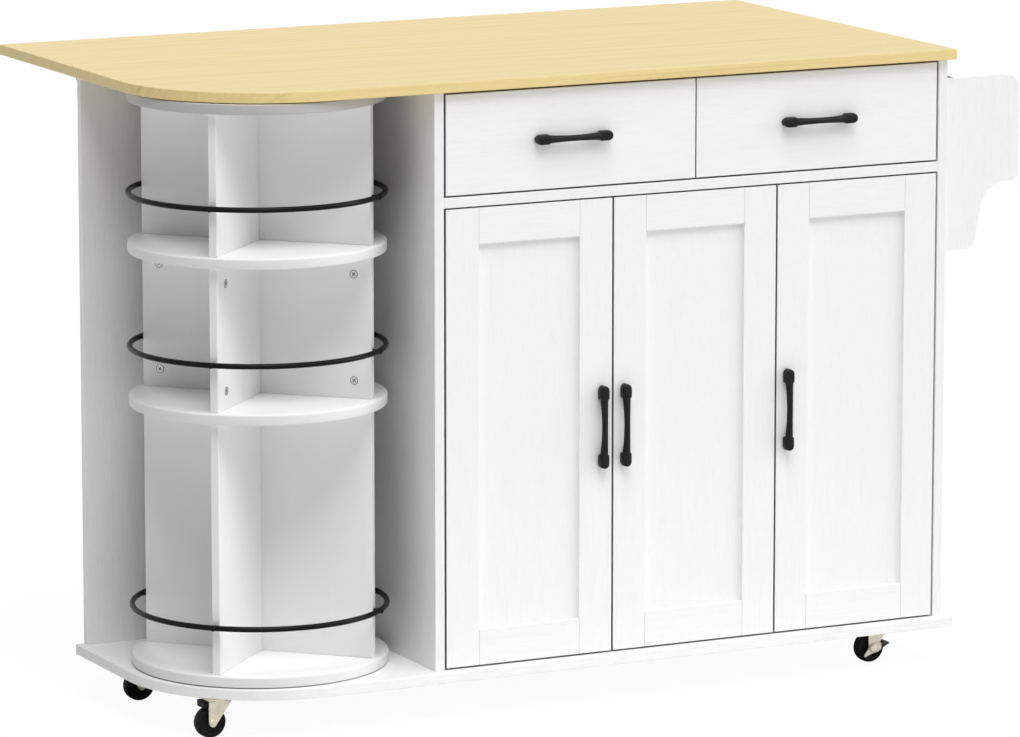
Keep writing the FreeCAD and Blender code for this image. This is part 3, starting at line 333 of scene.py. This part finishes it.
def plated(name, colour, roughness, seed=0.0, brushed=None):
    """Plated steel: bright, blotched by faint tarnish and scratched finely, along one axis if it is brushed."""
    finish = Finish(name, colour, roughness, metallic=1.0)
    x, y, z = finish.place()
    blotch = finish.noise(finish.point(x + seed, y, z), scale=90.0, detail=3.0).ramp(0.35, 0.7)
    scale = [60.0 if axis == brushed else 2600.0 for axis in "xyz"]
    scratch = finish.noise(finish.point(x * scale[0], y * scale[1], z * scale[2]), detail=2.0)
    tarnished = tuple(c * 0.8 for c in colour)
    finish.set("Base Color", finish.blend(blotch * 0.55, colour, tarnished))
    finish.set("Roughness", roughness + blotch * 0.08 + scratch * 0.1)
    finish.relief(scratch, 0.00004, 0.4)
    return finish


plated("nickel_pins", NICKEL, 0.24).on("shelf_pins")


# ---- Worktop and drop leaf ----------------------------------------------------------------------------
# A chipboard top under printed oak laminate with square edges. The print shows planks 208 mm wide along the
# island, with soft cathedral figure, fine dark pores and a few stronger streaks; the leaf carries it on.
OAK_LIGHT = ink(241, 219, 158)
OAK_MIDDLE = ink(228, 203, 138)
OAK_DARK = ink(194, 160, 96)
PLANK_WIDTH = 0.208
PLANK_START = -0.1878


def printed_oak(name):
    """Oak print along x: planks across y, each with its own tone and its own shift of the figure."""
    finish = Finish(name, OAK_MIDDLE, 0.38, specular=0.25)
    x, y, z = finish.place()
    across = y + z * 0.7
    plank = ((across - PLANK_START) / PLANK_WIDTH).floor()
    within = (across - PLANK_START) / PLANK_WIDTH - plank
    shift = (plank * 7.31).sine() * 3.7
    tone = finish.noise(finish.point(plank * 3.17, 0.5, 0.5), scale=1.0, detail=0.0)
    bend = finish.noise(finish.point(x * 0.9 + shift, across * 5.0 + plank * 2.3, 0.0), detail=2.0)
    figure = ((within - 0.5) * 34.0 + bend * 17.0 + shift).sine()
    rings = (figure * 0.5 + 0.5).ramp(0.25, 1.0)
    drawn = finish.noise(finish.point(x * 2.2 + shift, across * 190.0, z * 190.0), detail=5.0, roughness=0.6)
    pores = finish.noise(finish.point(x * 34.0 + shift, across * 1500.0, z * 1500.0), detail=1.0)
    pores = pores.ramp(0.58, 0.74)
    streak = finish.noise(finish.point(x * 3.2 + shift * 2.0, across * 62.0, 3.0), detail=2.0).ramp(0.63, 0.78)
    joint = (abs(within - 0.5) * 2.0).ramp(0.985, 0.998)
    joint = joint * finish.noise(finish.point(x * 2.4, plank * 5.0, 0.0), detail=1.0).ramp(0.38, 0.62)
    depth = rings * 0.16 + drawn.ramp(0.3, 0.78) * 0.34 + pores * 0.12 + tone * 0.22
    pale = finish.blend(depth, OAK_LIGHT, OAK_MIDDLE)
    deep = (drawn.ramp(0.5, 0.85) * 0.3 + streak * 0.4 + pores * 0.22 + joint * 0.4).least(1.0)
    finish.set("Base Color", finish.blend(deep, pale, OAK_DARK))
    finish.set("Roughness", 0.33 + drawn * 0.12 + pores * 0.1)
    finish.relief(drawn * 0.4 - pores * 0.5, 0.0001, 0.35)
    return finish


printed_oak("printed_oak").on("fixed_top", "drop_leaf")


# ---- Doors --------------------------------------------------------------------------------------------
# Each door is a frame of two stiles and two rails round a sunk panel. Stiles and panel have the grain
# upright and the rails have it level, the butt joints show as hairlines, and the cut edges carry grey painted shade
# for the narrow gaps.
STILE_WIDTH = 0.052
HAIRLINE = 0.0007
RIM = 0.0004
RIM_START = 0.0015
# Grey painted on the cut edges of the fronts as painted shade for the narrow gaps between them.
GAP_SHADE_GREY = ink(124, 124, 126)


def gap_shade_rim(finish, node, edge_band_or_shade):
    """A mask from 0 to 1 for painted shade: the cut edges of a front board, from a little way behind its face."""
    low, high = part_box(node)
    x, y, z = finish.place()
    beside = abs(x - (low[0] + high[0]) / 2).above((high[0] - low[0]) / 2 - edge_band_or_shade)
    above = abs(z - (low[2] + high[2]) / 2).above((high[2] - low[2]) / 2 - edge_band_or_shade)
    return beside.most(above) * y.above(low[1] + RIM_START)


def framed_board(name, door):
    """Laminate for one door: level grain on its rails, upright grain elsewhere, a hairline at each joint, and grey
    painted shade on its cut edges.
    """
    low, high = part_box(door)
    finish = Finish(name, LAMINATE_WHITE, 0.46, specular=0.4)
    x, y, z = finish.place()
    up_streaks, up_pores = pressed_grain(finish, "z", low[0] * 5.0)
    level_streaks, level_pores = pressed_grain(finish, "x", low[0] * 3.0)
    centre_x = (low[0] + high[0]) / 2
    centre_z = (low[2] + high[2]) / 2
    from_middle = abs(x - centre_x)
    joint_at = (high[0] - low[0]) / 2 - STILE_WIDTH
    rail_at = (high[2] - low[2]) / 2 - STILE_WIDTH
    on_rail = from_middle.below(joint_at) * abs(z - centre_z).above(rail_at)
    streaks = up_streaks * (1.0 - on_rail) + level_streaks * on_rail
    pores = up_pores * (1.0 - on_rail) + level_pores * on_rail
    hairline = abs(from_middle - joint_at).below(HAIRLINE / 2) * abs(z - centre_z).above(rail_at)
    grain = finish.blend(streaks.ramp(0.35, 0.75) * 0.25 + pores * 0.35, LAMINATE_WHITE, LAMINATE_SHADE)
    face = finish.blend(hairline * 0.55, grain, ink(150, 150, 152))
    # The cut edges are painted grey as the shade in the narrow gaps between the fronts.
    finish.set("Base Color", finish.blend(gap_shade_rim(finish, door, RIM), face, GAP_SHADE_GREY))
    finish.set("Roughness", 0.40 + streaks * 0.12 + pores * 0.08)
    finish.relief(streaks * 0.5 - pores * 0.6 - hairline * 2.0, 0.00016, 0.4)
    finish.on(door)


for door in ("left_door", "middle_door", "right_door"):
    framed_board(f"{door}_laminate", door)


# ---- Drawers ------------------------------------------------------------------------------------------
# The drawer fronts are plain white boards with level grain and grey painted shade on their cut edges, for the
# narrow gaps. Behind them the boxes are thinner laminate, slightly warmer, and run on zinc plated slides.
def drawer_board(name, front, seed):
    """Laminate with level grain for one drawer front, with grey painted shade on its cut edges."""
    finish = Finish(name, LAMINATE_WHITE, 0.46, specular=0.4)
    streaks, pores = pressed_grain(finish, "x", seed)
    grain = finish.blend(streaks.ramp(0.35, 0.75) * 0.22 + pores * 0.3, LAMINATE_WHITE, LAMINATE_SHADE)
    # The cut edges are painted grey as the shade in the gaps between the fronts.
    finish.set("Base Color", finish.blend(gap_shade_rim(finish, front, RIM), grain, GAP_SHADE_GREY))
    finish.set("Roughness", 0.40 + streaks * 0.12 + pores * 0.08)
    finish.relief(streaks * 0.5 - pores * 0.6, 0.00016, 0.35)
    finish.on(front)


drawer_board("laminate_left_drawer", "left_drawer_front", 11.9)
drawer_board("laminate_right_drawer", "right_drawer_front", 16.4)
box_board = laminate("laminate_drawer_box", "y", seed=4.2, white=ink(243, 242, 238))
box_board.on("left_drawer_box", "right_drawer_box")
plated("zinc_slides", ink(186, 188, 190), 0.3, brushed="y").on(
    "slide_cabinet_members", "left_drawer_slides", "right_drawer_slides")


# ---- Pulls --------------------------------------------------------------------------------------------
# Five cast pulls in satin black, each one casting: two rounded feet and a waisted bar that bows out between
# them. Powder paint leaves them slightly pebbled, with a soft shine. Two hidden screws hold each from behind.
BLACK_PAINT = ink(18, 18, 18)
FOOT_LENGTH = 0.024
FOOT_HALF = 0.0074
PULL_REACH = 0.014
PULL_BOW = 0.0016
WAIST_HALF = 0.0044
SHOULDER_HALF = 0.0066
FACE_ROUND = 0.003


def powder_black(name, colour=BLACK_PAINT, roughness=0.36, specular=0.2):
    """Black powder paint: pebbled finely, a little lighter where it is thick."""
    finish = Finish(name, colour, roughness, specular=specular)
    x, y, z = finish.place()
    pebbles = finish.noise(finish.point(x, y, z), scale=1500.0, detail=2.0)
    patches = finish.noise(finish.point(x, y, z), scale=45.0, detail=2.0).ramp(0.3, 0.7)
    lighter = tuple(c * 1.35 for c in colour)
    finish.set("Base Color", finish.blend(patches * 0.5 + pebbles * 0.3, colour, lighter))
    finish.set("Roughness", roughness + pebbles * 0.14)
    finish.relief(pebbles, 0.00012, 0.5)
    return finish


def shell(name, grids, finish, body, ring=False, replaced=()):
    """A closed piece from grids of points, each wrapped round its columns.

    Rows run from one pole to the other, or round a ring, and neighbours four by four are a face. Points that
    fall together, as at a pole, are welded, and the faces are turned outwards.
    """
    points, faces, first = [], [], 0
    for grid in grids:
        rows, columns = grid.shape[:2]
        index = first + np.arange(rows * columns).reshape(rows, columns)
        below = np.roll(index, -1, axis=0) if ring else index[1:]
        above = index if ring else index[:-1]
        quads = [above, np.roll(above, -1, axis=1), np.roll(below, -1, axis=1), below]
        faces.append(np.stack(quads, axis=-1).reshape(-1, 4))
        points.append(grid.reshape(-1, 3))
        first += rows * columns
    mesh = bpy.data.meshes.new(name)
    mesh.from_pydata(np.concatenate(points).tolist(), [], np.concatenate(faces).tolist())
    skin = bmesh.new()
    skin.from_mesh(mesh)
    bmesh.ops.remove_doubles(skin, verts=skin.verts, dist=1e-6)
    bmesh.ops.recalc_face_normals(skin, faces=skin.faces)
    skin.to_mesh(mesh)
    skin.free()
    mesh.shade_smooth()
    mesh.set_sharp_from_angle(angle=math.radians(38.0))
    piece = bpy.data.objects.new(name, mesh)
    bpy.context.collection.objects.link(piece)
    finish.on(piece)
    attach(piece, body)
    for node in replaced:
        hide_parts(node)
    return piece


def pull_stations():
    """Distances from a pull's tip to its middle: close together round the foot and its inner end."""
    quarter = np.linspace(0.0, np.pi / 2, 10)
    tip = FOOT_HALF * (1.0 - np.cos(quarter))
    inner_reach = math.acos(SHOULDER_HALF / FOOT_HALF)
    inner = FOOT_LENGTH - FOOT_HALF + FOOT_HALF * np.sin(np.linspace(0.0, inner_reach, 6))
    return tip, inner


def pull_grid(half):
    """A pull along its own length: across, out from the face and along, for a half length.

    The section is a rounded square whose width, back and front change with the distance from the tip. The
    foot is a slot shape that stands on the face; the bar leaves it in a step and narrows to its waist.
    """
    tip, inner = pull_stations()
    bar = np.linspace(inner[-1] + 0.0003, half, 14)
    from_tip = np.concatenate([tip, inner, bar])
    on_foot = from_tip <= inner[-1]
    near_end = np.clip(FOOT_HALF - from_tip, 0.0, None)
    past_end = np.clip(from_tip - (FOOT_LENGTH - FOOT_HALF), 0.0, FOOT_HALF)
    foot_width = np.sqrt(np.clip(FOOT_HALF ** 2 - near_end ** 2 - past_end ** 2, 0.0, None))
    from_middle = (half - from_tip) / (half - FOOT_LENGTH / 2)
    bar_width = WAIST_HALF + (SHOULDER_HALF - WAIST_HALF) * from_middle ** 2
    width = np.where(on_foot, foot_width, bar_width)
    rounding = 1.0 - np.clip(from_tip / FACE_ROUND, 0.0, 1.0)
    foot_front = PULL_REACH - FACE_ROUND * (1.0 - np.sqrt(1.0 - rounding ** 2))
    bar_front = PULL_REACH + PULL_BOW * (1.0 - from_middle ** 2)
    front = np.where(on_foot, foot_front, bar_front)
    back = np.where(on_foot, 0.0, bar_front - 2.0 * bar_width)
    along = from_tip - half
    width, front, back, on_foot = [np.concatenate([a, a[-2::-1]]) for a in (width, front, back, on_foot)]
    along = np.concatenate([along, -along[-2::-1]])
    turn = np.linspace(0.0, 2.0 * np.pi, 36, endpoint=False)
    square = np.where(on_foot, 0.5, 1.0)[:, None]
    sideways = np.sign(np.cos(turn)) * np.abs(np.cos(turn)) ** square
    outward = np.sign(np.sin(turn)) * np.abs(np.sin(turn)) ** square
    middle = (front + back)[:, None] / 2
    depth = (front - back)[:, None] / 2
    return width[:, None] * sideways, middle + depth * outward, along[:, None] + 0.0 * turn


pull_paint = powder_black("pull_paint")
PULL_BODIES = {"left_door_pull": "left_door_leaf", "middle_door_pull": "middle_door_leaf",
               "right_door_pull": "right_door_leaf", "left_drawer_pull": "left_drawer",
               "right_drawer_pull": "right_drawer"}
for pull, body in PULL_BODIES.items():
    low, high = [np.array(corner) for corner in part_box(pull)]
    middle = (low + high) / 2
    upright = high[2] - low[2] > high[0] - low[0]
    across, out, along = pull_grid(max(high[2] - low[2], high[0] - low[0]) / 2)
    x, z = (across, along) if upright else (along, across)
    grid = np.stack([middle[0] + x, high[1] - out, middle[2] + z], axis=-1)
    shell(f"{pull}_casting", [grid], pull_paint, body, replaced=[pull])


# ---- Hinges -------------------------------------------------------------------------------------------
# Pressed cup hinges, nickel plated: a cup let into each door's back and an arm screwed to the carcass.
plated("nickel_hinges", NICKEL, 0.22, seed=3.0).on(
    "hinge_arms", "left_door_hinge_cups", "middle_door_hinge_cups", "right_door_hinge_cups")


# ---- Rotating column ----------------------------------------------------------------------------------
# Four round boards with softly rounded edges and crossed dividers between them, all in white board. Cam
# fittings hold the dividers, and black steel rings are screwed to the dividers' ends round each tier.
COLUMN = "turntable"
COLUMN_AXIS = np.array([-0.481, -0.14675])
DISC_RADIUS = 0.186
DISC_EASE = 0.0022
RING_RADIUS = 0.184
RING_TUBE = 0.004
ARM_END = 0.175
RING_DROP = 0.0012


def turned(profile, centre, axis="z", sides=96, reach=1.0):
    """A grid from a half section turned about an axis through a centre.

    Each profile point is a radius and a distance along the axis; reach scales the radius at each angle.
    """
    turn = np.linspace(0.0, 2.0 * np.pi, sides, endpoint=False)
    radius, along = np.array(profile, dtype=float).T[:, :, None]
    ring = [radius * reach * np.cos(turn), radius * reach * np.sin(turn), along + 0.0 * turn]
    order = {"x": (2, 0, 1), "y": (0, 2, 1), "z": (0, 1, 2)}[axis]
    return np.stack([ring[i] for i in order], axis=-1) + np.array(centre)


def swung(grid, degrees, centre):
    """A grid turned about an upright line through a centre."""
    cosine, sine = math.cos(math.radians(degrees)), math.sin(math.radians(degrees))
    turn = np.array([[cosine, sine, 0.0], [-sine, cosine, 0.0], [0.0, 0.0, 1.0]])
    return (grid - centre) @ turn + centre


def disc_section(radius, low, high, ease):
    """Half the section of a round board: flat, a quarter circle, upright, a quarter circle, flat."""
    bend = np.linspace(0.0, np.pi / 2, 7)
    over = np.stack([radius - ease + ease * np.sin(bend), high - ease + ease * np.cos(bend)], axis=-1)
    under = np.stack([radius - ease + ease * np.cos(bend), low + ease - ease * np.sin(bend)], axis=-1)
    return np.concatenate([[(0.0, high)], over, under, [(0.0, low)]])


def banded_or_shaded_round(name, face, edge_band_or_shade, seed):
    """Nearly plain board for one round shelf: a white face, and round the edge a tone of its own: banding on most
    discs, painted shade on the top disc under the worktop.
    """
    finish = Finish(name, face, 0.46, specular=0.3)
    streaks, pores = pressed_grain(finish, "x", seed)
    board = finish.blend(streaks.ramp(0.35, 0.75) * 0.12 + pores * 0.15, face, LAMINATE_SHADE)
    x, y, z = finish.place()
    from_axis = finish.node("ShaderNodeVectorMath", {"operation": "LENGTH"},
                            {0: finish.point(x - float(COLUMN_AXIS[0]), y - float(COLUMN_AXIS[1]), 0.0)}, 1)
    edge = from_axis.ramp(DISC_RADIUS - DISC_EASE, DISC_RADIUS - DISC_EASE * 0.3)
    finish.set("Base Color", finish.blend(edge, board, edge_band_or_shade))
    finish.set("Roughness", 0.42 + streaks * 0.1 + pores * 0.06)
    finish.relief(streaks * 0.5 - pores * 0.6, 0.00012, 0.2)
    return finish


EDGE_BAND = ink(232, 232, 233)
# The top disc's edge is grey as painted shade, for the shadow that the worktop casts on it.
TOP_DISC_PAINTED_SHADE = ink(190, 190, 189)
for disc in ("turntable_bottom_disc", "turntable_lower_shelf", "turntable_upper_shelf", "turntable_top_disc"):
    low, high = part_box(disc)
    section = disc_section(DISC_RADIUS, low[2], high[2], DISC_EASE)
    edge_band_or_shade = TOP_DISC_PAINTED_SHADE if disc == "turntable_top_disc" else EDGE_BAND
    board = banded_or_shaded_round(f"laminate_{disc}", LAMINATE_WHITE, edge_band_or_shade, low[2] * 20.0)
    shell(f"{disc}_board", [turned(section, (*COLUMN_AXIS, 0.0), sides=160)], board, COLUMN,
          replaced=[disc])

divider_board = laminate("laminate_dividers", "z", seed=9.4, white=ink(241, 241, 241), figure=0.35)
divider_board.on("lower_tier_cross", "middle_tier_cross", "upper_tier_cross")
plated("zinc_pivots", ink(180, 178, 172), 0.3, seed=5.0).on("turntable_pivots")

# The rings: round tube, a peg into each divider's end and the button head of its screw outside.
ring_paint = powder_black("ring_paint", ink(8, 8, 8), roughness=0.24, specular=0.12)
ring_levels = [(0.0165 + 0.070), (0.395 + 0.070), (0.6175 + 0.070)]
around = np.linspace(0.0, 2.0 * np.pi, 20, endpoint=False)
tube_section = np.stack([RING_RADIUS + RING_TUBE * np.cos(around), RING_TUBE * np.sin(around)], axis=-1)
base_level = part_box("base_plate")[1][2]
ring_heights = [base_level + level for level in ring_levels]
rings = [turned(tube_section, (*COLUMN_AXIS, height), sides=160) for height in ring_heights]
shell("guard_ring_tubes", rings, ring_paint, COLUMN, ring=True, replaced=["guard_rings"])
screw_section = [(0.0, 0.0019), (0.0015, 0.0018), (0.0026, 0.0013), (0.0031, 0.0005), (0.0032, -0.004),
                 (0.0, -0.004)]
peg_section = [(0.0, ARM_END - 0.001), (0.0027, ARM_END - 0.001), (0.0027, RING_RADIUS), (0.0, RING_RADIUS)]
ring_screws = []
for height in ring_heights:
    axis = np.array([*COLUMN_AXIS, height])
    head = turned(screw_section, axis + (RING_RADIUS + RING_TUBE - 0.0006, 0.0, -RING_DROP), "x", 20)
    peg = turned(peg_section, axis, "x", 16)
    ring_screws += [swung(grid, 45.0 + 90.0 * arm, axis) for arm in range(4) for grid in (head, peg)]
shell("guard_ring_screws", ring_screws, ring_paint, COLUMN)

# Cam fittings of the middle tier: a light round head with painted shade as a dark rim line and a dark cross slot.
# On the long divider they are near its two ends, on the half dividers near the outer end, at the top and at the
# bottom.
CAM_HEIGHTS = (base_level + 0.4215, base_level + 0.5755)
DIVIDER_HALF = 0.006
# Each: the way its face looks, the way out along the divider (both in degrees) and how far out it is.
CAM_PLACES = [(-135.0, -45.0, -0.149), (-135.0, -45.0, 0.149), (-45.0, -135.0, 0.142), (135.0, 45.0, 0.142)]
cam_head = [(0.0, 0.0004), (0.0052, 0.0004), (0.0060, 0.0003), (0.0063, 0.0001), (0.0063, -0.001), (0.0, -0.001)]
cam_rim = [(0.0053, 0.0005), (0.0061, 0.0005), (0.0061, 0.0), (0.0053, 0.0)]
cam_slot = [(0.0, 0.0006), (1.0, 0.0006), (1.0, 0.0), (0.0, 0.0)]
slot_turn = np.linspace(0.0, 2.0 * np.pi, 96, endpoint=False) + 0.6
slot_cos, slot_sin = np.abs(np.cos(slot_turn)) + 1e-6, np.abs(np.sin(slot_turn)) + 1e-6
# A plus sign in polar form: the farther of two crossed bars, 6.4 mm long and 1.2 mm wide.
cross_reach = np.maximum(np.minimum(0.0032 / slot_cos, 0.0006 / slot_sin),
                         np.minimum(0.0032 / slot_sin, 0.0006 / slot_cos))
heads, rims, slots = [], [], []
for facing, along, out in CAM_PLACES:
    face, way = [np.array([math.cos(math.radians(a)), math.sin(math.radians(a))]) for a in (facing, along)]
    for height in CAM_HEIGHTS:
        spot = np.array([*(COLUMN_AXIS + face * DIVIDER_HALF + way * out), height])
        heads.append(swung(turned(cam_head, spot, "x", 32), facing, spot))
        rims.append(swung(turned(cam_rim, spot, "x", 32), facing, spot))
        slots.append(swung(turned(cam_slot, spot, "x", 96, reach=cross_reach), facing, spot))
cam_grey = plated("cam_zinc", ink(214, 213, 209), 0.42, seed=6.0)
shell("cam_heads", heads, cam_grey, COLUMN)
# The dark rim lines and cross slots are painted shade, laid thinly over the heads.
cam_painted_shade = powder_black("cam_shadow", ink(62, 62, 62), 0.6)
shell("cam_rim_shade", rims, cam_painted_shade, COLUMN, ring=True)
shell("cam_slot_shade", slots, cam_painted_shade, COLUMN)


# ---- Folding brackets ---------------------------------------------------------------------------------
# Zinc plated pressed steel: an angle on the back board, an angle under the leaf and two flat links. Round
# head screws hold the angles, three to each flange.
plated("zinc_brackets", ink(190, 190, 188), 0.32, seed=8.0, brushed="z").on(
    "bracket_wall_plates", "bracket_arms", "bracket_lower_links", "bracket_upper_links")
screw_zinc = plated("zinc_screws", ink(200, 199, 195), 0.26, seed=12.0)
SCREW_HEAD = [(0.0, 0.0017), (0.0014, 0.0016), (0.0026, 0.0011), (0.0034, 0.0002), (0.0035, -0.0004),
              (0.0, -0.0004)]
DOWNWARD_HEAD = [(radius, -along) for radius, along in SCREW_HEAD]
WALL_SCREWS = (0.034, 0.125, 0.216)
ARM_SCREWS = (0.040, 0.105, 0.165)
wall_low, wall_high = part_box("bracket_wall_plates")
arms_low, arms_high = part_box("bracket_arms")
leaf_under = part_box("drop_leaf")[0][2]
back_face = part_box("cabinet_back_panel")[1][1]
bracket_x = (wall_low[0] + 0.018, wall_high[0] - 0.0125)
wall_screws = [turned(SCREW_HEAD, (x - 0.0095, back_face + 0.002, wall_low[2] + rise), "y", 20)
               for x in bracket_x for rise in WALL_SCREWS]
shell("bracket_wall_screws", wall_screws, screw_zinc, "carcass")
arm_screws = [turned(DOWNWARD_HEAD, (x + 0.0175, arms_low[1] + run, leaf_under - 0.002), "z", 20)
              for x in bracket_x for run in ARM_SCREWS]
shell("bracket_arm_screws", arm_screws, screw_zinc, "leaf")


# ---- Rack ---------------------------------------------------------------------------------------------
# Two shaped end boards with a shelf between them, a thin black guard rail and a thicker towel rail below.
# The rails are steel tube; each end sits in a small black cup screwed to the end board.
laminate("laminate_rack_ends", "z", seed=13.0).on("rack_end_panels")
laminate("laminate_rack_shelf", "y", seed=14.0).on("rack_shelf")
rail_paint = powder_black("rail_paint")
GUARD_RADIUS = 0.004
TOWEL_RADIUS = 0.006
CUP_WALL = 0.0022
CUP_LENGTH = 0.005
rails_low, rails_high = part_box("rack_rails")
RAILS = {
    "guard": (GUARD_RADIUS, rails_high[0] - GUARD_RADIUS, rails_high[2] - GUARD_RADIUS),
    "towel": (TOWEL_RADIUS, rails_low[0] + TOWEL_RADIUS, rails_low[2] + TOWEL_RADIUS),
}
rods, cups = [], []
for radius, x, z in RAILS.values():
    span = [(0.0, rails_low[1]), (radius, rails_low[1]), (radius, rails_high[1]), (0.0, rails_high[1])]
    rods.append(turned(span, (x, 0.0, z), "y", 40))
    for end, inward in ((rails_low[1], 1.0), (rails_high[1], -1.0)):
        lip = radius + CUP_WALL
        cup = [(radius, 0.0), (lip, 0.0), (lip, CUP_LENGTH * 0.8), (lip - 0.0008, CUP_LENGTH), (radius, CUP_LENGTH)]
        cups.append(turned([(r, end + inward * along) for r, along in cup], (x, 0.0, z), "y", 40))
shell("rack_rail_tubes", rods, rail_paint, "carcass", replaced=["rack_rails"])
shell("rack_rail_cups", cups, rail_paint, "carcass", ring=True)


# ---- Casters ------------------------------------------------------------------------------------------
# Twin-leg pressed forks in warm zinc on screwed plates, riveted axles and black plastic wheels with a dished
# side. The front two have toe brakes: a black block at the left and a steel lever with a black pad at the right.
CORNERS = ("front_left", "front_right", "back_left", "back_right")
fork_plate = plated("zinc_forks", ink(214, 207, 190), 0.36, seed=1.0)
fork_plate.on("caster_plates", *[f"{corner}_fork" for corner in CORNERS])
wheel_black = powder_black("wheel_plastic", ink(12, 12, 11), 0.45, specular=0.12)
WHEEL_SIDE = [(0.0031, 0.0090), (0.0070, 0.0090), (0.0079, 0.0086), (0.0084, 0.0070), (0.0150, 0.0068),
              (0.0160, 0.0078), (0.0176, 0.0085), (0.0196, 0.0084), (0.0212, 0.0076), (0.0221, 0.0062),
              (0.0225, 0.0045), (0.0225, 0.0015)]
wheel_section = WHEEL_SIDE + [(radius, -along) for radius, along in reversed(WHEEL_SIDE)]
AXLE_CAP = [(0.0, 0.0023), (0.0035, 0.0023), (0.0048, 0.0022), (0.0055, 0.0017), (0.0058, 0.0009),
            (0.0058, -0.0004), (0.0, -0.0004)]
BACK_CAP = [(radius, -along) for radius, along in AXLE_CAP]
AXLE_CAP_DEPTH = 0.002
for corner in CORNERS:
    low, high = [np.array(side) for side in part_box(f"{corner}_wheel")]
    hub = (low + high) / 2
    shell(f"{corner}_wheel_moulding", [turned(wheel_section, hub, "y", 72)], wheel_black, f"{corner}_roller",
          ring=True, replaced=[f"{corner}_wheel"])
    fork_low, fork_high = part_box(f"{corner}_fork")
    front_cap = turned(BACK_CAP, (hub[0], fork_low[1] + AXLE_CAP_DEPTH, hub[2]), "y", 28)
    back_cap = turned(AXLE_CAP, (hub[0], fork_high[1] - AXLE_CAP_DEPTH, hub[2]), "y", 28)
    shell(f"{corner}_axle_caps", [front_cap, back_cap], fork_plate, f"{corner}_swivel")
PLATE_SCREW = 0.0165
plates_low, plates_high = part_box("caster_plates")
plate_under = plates_high[2] - 0.002
PLATE_HALF = 0.0225
plate_screws = [
    turned(DOWNWARD_HEAD, (x + side * PLATE_SCREW, y + depth * PLATE_SCREW, plate_under), "z", 16)
    for x in (plates_low[0] + PLATE_HALF, plates_high[0] - PLATE_HALF)
    for y in (plates_low[1] + PLATE_HALF, plates_high[1] - PLATE_HALF)
    for side in (-1, 1) for depth in (-1, 1)]
shell("caster_plate_screws", plate_screws, screw_zinc, "carcass")

brake_black = powder_black("brake_plastic", ink(12, 12, 12), 0.42, specular=0.12)
brake_black.on("front_left_brake")
# The right brake is one pressed lever whose outer end is dipped in black.
lever_low, lever_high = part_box("front_right_brake")
TOE_LENGTH = 0.013
dipped = Finish("brake_lever", ink(205, 199, 184), 0.36, metallic=1.0)
x, y, z = dipped.place()
toe = x.above(lever_high[0] - TOE_LENGTH)
speckle = dipped.noise(dipped.point(x, y, z), scale=700.0, detail=2.0)
dipped.set("Base Color", dipped.blend(toe, ink(205, 199, 184), ink(20, 20, 20)))
dipped.set("Metallic", 1.0 - toe)
dipped.set("Roughness", 0.34 + speckle * 0.12)
dipped.relief(speckle, 0.00008, 0.4)
dipped.on("front_right_brake")
